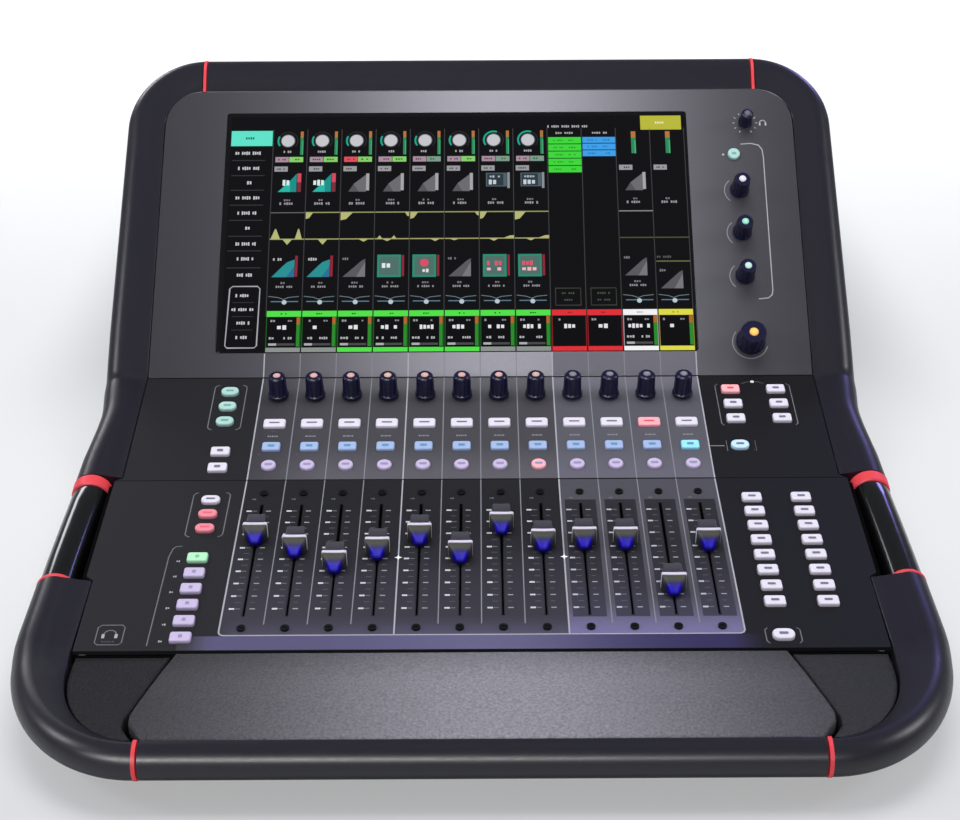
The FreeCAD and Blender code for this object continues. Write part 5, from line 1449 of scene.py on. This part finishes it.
def print_right_groups():
    line(CONTROL, [(176.0, 106.6), (173.8, 104.6), (173.8, 60.0), (175.6, 57.8)], 0.6, SOFT)
    line(CONTROL, [(226.6, 106.6), (228.8, 104.6), (228.8, 60.0), (227.0, 57.8)], 0.6, SOFT)
    line(CONTROL, [(193.6, 106.8), (197.0, 108.6), (199.6, 109.3)], 0.5, FAINT)
    line(CONTROL, [(210.2, 106.8), (207.0, 108.6), (204.6, 109.3)], 0.5, FAINT)
    art.disc(CONTROL, 202.0, 109.3, 1.5, PRINT_W + 0.02, srgb("#cfd4da"), 16)
    line(CONTROL, [(162.8, 34.8), (172.8, 34.8)], 0.7, RING)
    line(CONTROL, [(174.6, 29.0), (174.6, 40.6)], 0.5, SOFT)
    line(CONTROL, [(193.2, 31.0), (195.0, 28.8), (195.0, 40.4)], 0.5, FAINT)
    line(FADER, [(176.0, 18.8), (174.2, 16.8), (174.2, 6.6), (176.0, 4.6)], 0.6, SOFT)
    line(FADER, [(194.0, 18.8), (195.8, 16.8), (195.8, 6.6), (194.0, 4.6)], 0.6, SOFT)


def print_screen_side():
    """Right of the screen: frame line, arcs and ticks round the knobs, arch symbol."""
    line(SCREEN, [(206.0, 196.0), (214.0, 196.6), (220.0, 195.0), (222.6, 191.0),
                  (223.2, 184.0), (223.2, 70.0), (222.4, 66.0), (219.6, 63.4),
                  (212.0, 62.6)], 0.75, srgb("#a8a8b0"))
    for s in SOFT_S:
        art.arc(SCREEN, SOFT_X, s, 11.1, 11.8, 130, 230, PRINT_W, RING, 48)
    for k in range(11):
        t = math.radians(-60 + 30 * k)
        cos, sin = math.cos(t), math.sin(t)
        tick = [(PHONES[0] + r * cos + half * sin, PHONES[1] + r * sin - half * cos)
                for r, half in ((8.2, -0.3), (8.2, 0.3), (9.8, 0.3), (9.8, -0.3))]
        art.polygon(SCREEN, tick, PRINT_W, BRIGHT)
    art.arc(SCREEN, 224.5, 215.0, 2.0, 2.6, 0, 180, PRINT_W, BRIGHT)
    patch(SCREEN, 221.6, 212.6, 222.8, 215.2, BRIGHT)
    patch(SCREEN, 226.2, 212.6, 227.4, 215.2, BRIGHT)
    art.arc(SCREEN, *MAIN, 12.95, 13.6, 140, 345, PRINT_W, RING, 60)
    art.disc(SCREEN, 191.8, 186.8, 0.9, PRINT_W, BRIGHT, 10)


print_strip_lines()
print_stars()
print_scales()
print_left_groups()
print_right_groups()
print_screen_side()
art.make("panel_print", PRINT, "key_white")


# --------------------------------------------------------------- panel tones and painted light
class ToneAndLightSheet:
    """Thin coloured grids whose colour varies smoothly with x and s; they carry the panels'
    tones with painted light, shade and reflections.
    """

    def __init__(self):
        self.verts, self.faces, self.colours = [], [], []

    def grid(self, panel, x0, s0, x1, s1, colour, w=0.012, dx=9.0, ds=7.0):
        columns, rows = math.ceil((x1 - x0) / dx), math.ceil((s1 - s0) / ds)
        base = len(self.verts)
        for j in range(rows + 1):
            for i in range(columns + 1):
                x, s = x0 + (x1 - x0) * i / columns, s0 + (s1 - s0) * j / rows
                self.verts.append(place(panel, x, s, w))
                self.colours.append(colour(x, s))
        for j in range(rows):
            for i in range(columns):
                a = base + j * (columns + 1) + i
                self.faces.append((a, a + 1, a + columns + 2, a + columns + 1))

    def round_slot(self, x, left, right, low, high, colour):
        """Fader panel between left and right, leaving out the fader slot at x."""
        self.grid(FADER, left, low, right, 31.4, colour)
        self.grid(FADER, left, 31.4, x - 1.2, 146.2, colour)
        self.grid(FADER, x + 1.2, 31.4, right, 146.2, colour)
        self.grid(FADER, left, 146.2, right, high, colour)


def input_tone(x, s):
    """Dark paint of the input strips, lighter towards the front as painted light, with a painted
    violet reflection near the front edge.
    """
    levels = blend((62, 60, 70), (38, 38, 43), smooth_step(s, 20.0, 150.0))
    gleam = (1 - smooth_step(s, 8.0, 34.0)) * (0.95 if -158 < x < 172 else 0.0)
    gleam *= 0.55 + 0.45 * math.exp(-((x + 10) / 95.0) ** 2)
    return paint(*blend(levels, (94, 90, 118), gleam))


# front band of the fader panel: a painted violet reflection across the middle, with a lighter
# left end and a darker right end
def front_tone(x, s):
    violet = blend((94, 89, 126), (56, 50, 92), smooth_step(x, 0.0, 150.0))
    violet = blend(violet, (106, 101, 139), math.exp(-((x + 5) / 60.0) ** 2))
    amount = smooth_step(x, -184.0, -164.0) * (1 - smooth_step(x, 150.0, 176.0))
    side_levels = (62, 61, 66) if x < -150 else (30, 30, 34)
    return paint(*blend(side_levels, violet, amount))


# paler strips 9 to 12 on the fader panel, violet near the front edge as a painted reflection
def violet_tone(x, s):
    return paint(*blend((124, 117, 164), (84, 83, 92), smooth_step(s, 12.0, 50.0)))


# around the slots of strips 9 to 12: darker, violet towards the front as a painted reflection
def violet_dark_tone(x, s):
    return paint(*blend((66, 64, 80), (48, 47, 53), smooth_step(s, 30.0, 95.0)))


# grey over the strips of the control panel; lighter near the front and back edges and darker
# towards the left end, as painted light and shade
def control_tone(x, s):
    levels = blend((98, 96, 104), (76, 75, 81), smooth_step(s, 2.0, 45.0))
    levels = blend(levels, (100, 99, 104), smooth_step(s, 88.0, 112.0))
    if x < -100:
        levels = blend((60, 59, 65), levels, smooth_step(x, -190.0, -100.0))
    return paint(*levels)


# strips 9 to 12 on the control panel, with the same painted light near the front and back edges
def control_violet_tone(x, s):
    levels = blend((108, 106, 120), (94, 94, 104), smooth_step(s, 2.0, 45.0))
    return paint(*blend(levels, (118, 117, 128), smooth_step(s, 88.0, 112.0)))


def add_panel_tones_and_painted_light():
    sheet = ToneAndLightSheet()
    sheet.grid(CONTROL, -161.6, 0.6, 53.5, 116.0, control_tone)
    sheet.grid(CONTROL, 54.5, 0.6, 161.6, 116.0, control_violet_tone)
    sheet.grid(SCREEN, 54.5, 0.8, 161.6, 19.8, lambda x, s: paint(118, 116, 126))
    last = len(STRIPS) - 1
    for i, x in enumerate(STRIPS):
        left = x - PITCH / 2 + (0.4 if i == 0 else 0.0)
        right = x + PITCH / 2 - (0.4 if i == last else 0.0)
        if i < INPUTS:
            sheet.round_slot(x, left, right, 14.6, 173.2, input_tone)
        else:
            sheet.grid(FADER, left, 14.6, right, 30.0, violet_tone)
            sheet.grid(FADER, left, 150.0, right, 173.2, violet_tone)
            sheet.grid(FADER, left, 30.0, x - 10.6, 150.0, violet_tone)
            sheet.grid(FADER, x + 10.6, 30.0, right, 150.0, violet_tone)
            sheet.round_slot(x, x - 10.6, x + 10.6, 30.0, 150.0, violet_dark_tone)
    # sunken lips on both sides of each slot, darkened as painted shade, more towards the back
    for i, x in enumerate(STRIPS):
        strip_tone = input_tone if i < INPUTS else violet_dark_tone

        def lip_shade_tone(x, s):
            return scaled(strip_tone(x, s), 0.78 - 0.62 * smooth_step(s, 70.0, 118.0))

        for left, right in ((x - 1.65, x - 0.62), (x + 0.62, x + 1.65)):
            sheet.grid(FADER, left, 31.9, right, 145.7, lip_shade_tone, w=-0.5)
    sheet.grid(FADER, -186.0, 0.9, 178.0, 13.4, front_tone, dx=6.0, ds=3.0)
    add_piece("panel_tones_and_painted_light", sheet.verts, sheet.faces, PANEL_TONES_AND_LIGHT, "panel_dark",
              point_colours=sheet.colours)


add_panel_tones_and_painted_light()

# ------------------------------------------------------- finishes of CAD pieces
# node: material, bevel width in mm (0 for no bevel)
CAD_FINISHES = {
    "base_pan": (PAN, 0.6), "rear_cover": (PAN, 0.25),
    "screen_panel": (PANEL_GREY, 0.25), "control_panel": (PANEL_DARK, 0.25),
    "fader_panel": (PANEL_DARK, 0.25), "display_module": (BLACK, 0),
    "fader_units": (FADER_MECHANISM, 0), "encoder_units": (STEEL, 0),
    "circuit_boards": (BOARD, 0), "power_supply": (STEEL, 0),
    "rear_sockets": (BLACK, 0.25), "feet": (RUBBER, 0),
    "panel_screws": (SCREW, 0.25), "power_rocker": (BLACK, 0.25)}

for node, (finish, bevel_width) in CAD_FINISHES.items():
    piece = NODES[node]
    piece.data.materials.clear()
    piece.data.materials.append(finish)
    if bevel_width:
        bevel = piece.modifiers.new("edge", "BEVEL")
        bevel.width = bevel_width * MM
        bevel.segments = 2
        bevel.limit_method = "ANGLE"
        bevel.angle_limit = math.radians(40)

# ------------------------------------------------- studio and camera, in metres
scene = bpy.context.scene
HALF_WIDTH, SWEEP_Y, SWEEP_RADIUS = 4, 1.4, 1.2


def add_studio_mesh(name, mesh_name, verts, faces, smooth=False):
    mesh = bpy.data.meshes.new(mesh_name)
    mesh.from_pydata(verts, [], faces)
    if smooth:
        mesh.shade_smooth()
    mesh.materials.append(FLOOR)
    result = bpy.data.objects.new(name, mesh)
    scene.collection.objects.link(result)
    return result


def add_backdrop():
    """Gentle curve up behind the console, then a straight wall."""
    steps = 24
    profile = []
    for k in range(steps + 1):
        t = math.radians(90.0 * k / steps)
        profile.append((SWEEP_Y + SWEEP_RADIUS * math.sin(t),
                        SWEEP_RADIUS - SWEEP_RADIUS * math.cos(t)))
    profile.append((SWEEP_Y + SWEEP_RADIUS, 4.0))
    verts = [(x, y, z) for y, z in profile for x in (-HALF_WIDTH, HALF_WIDTH)]
    faces = [(2 * k, 2 * k + 1, 2 * k + 3, 2 * k + 2) for k in range(steps + 1)]
    return add_studio_mesh("studio_backdrop", "backdrop", verts, faces, smooth=True)


def set_world():
    world = bpy.data.worlds.new("soft_studio")
    world.use_nodes = True
    background = world.node_tree.nodes["Background"]
    background.inputs["Color"].default_value = (0.93, 0.95, 1.0, 1)
    background.inputs["Strength"].default_value = 0.30
    scene.world = world


def add_area_light(name, location, target, *, size, power, size_y=None, colour=(1, 1, 1)):
    light = bpy.data.lights.new(name, "AREA")
    light.energy = power
    light.color = colour
    light.size = size
    if size_y:
        light.shape = "RECTANGLE"
        light.size_y = size_y
    lamp = bpy.data.objects.new(name, light)
    scene.collection.objects.link(lamp)
    lamp.location = location
    aim = Vector(target) - Vector(location)
    lamp.rotation_euler = aim.to_track_quat("-Z", "Y").to_euler()
    return lamp


def add_gleam(name, location, **settings):
    """Light that only draws highlights on the satin rims."""
    add_area_light(name, location, (0, -0.1, 0.05), **settings).visible_diffuse = False


def add_camera():
    camera = bpy.data.cameras.new("photo_view")
    camera.sensor_width = 36.0
    camera.lens = 62.925
    camera.clip_start = 0.05
    camera.shift_x = -0.000520833
    view = bpy.data.objects.new("photo_view", camera)
    scene.collection.objects.link(view)
    view.location = (0.0, -1.0512, 0.629)
    pitch = Matrix.Rotation(math.radians(63.0), 3, "X")
    roll = Matrix.Rotation(math.radians(-0.3), 3, "Z")
    view.rotation_euler = (pitch @ roll).to_euler()
    scene.camera = view


floor = add_studio_mesh("studio_floor", "floor",
                        [(-HALF_WIDTH, -3, 0), (HALF_WIDTH, -3, 0),
                         (HALF_WIDTH, SWEEP_Y, 0), (-HALF_WIDTH, SWEEP_Y, 0)], [(0, 1, 2, 3)])
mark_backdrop(floor, add_backdrop())
set_world()

key_light = add_area_light("key_top", (0.0, 0.15, 1.7), (0, 0.0, 0.05),
                           size=1.3, size_y=0.8, power=21)
key_light.visible_glossy = False
add_area_light("fill_front", (-0.35, -2.1, 1.15), (0, -0.1, 0.05),
               size=2.2, size_y=0.16, power=14)
add_area_light("side_left", (-1.7, -0.2, 1.15), (0, 0, 0.1),
               size=0.5, power=8, colour=(0.96, 0.96, 1.0))
add_area_light("side_right", (1.7, -0.1, 1.0), (0, 0, 0.1),
               size=0.5, power=7, colour=(0.96, 0.96, 1.0))
add_gleam("gleam_front", (-0.9, -2.2, 1.35), size=2.4, size_y=0.3, power=44)
add_gleam("gleam_back_left", (-1.4, 1.9, 1.02), size=0.9, size_y=0.5, power=9,
          colour=(0.98, 0.96, 1.0))
add_gleam("gleam_back_right", (1.37, 1.9, 1.0), size=0.5, size_y=0.5, power=8,
          colour=(0.36, 0.32, 1.0))
add_camera()
scene.view_settings.view_transform = "Standard"

bpy.context.view_layer.update()
BOUNDS_END = plain(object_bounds())
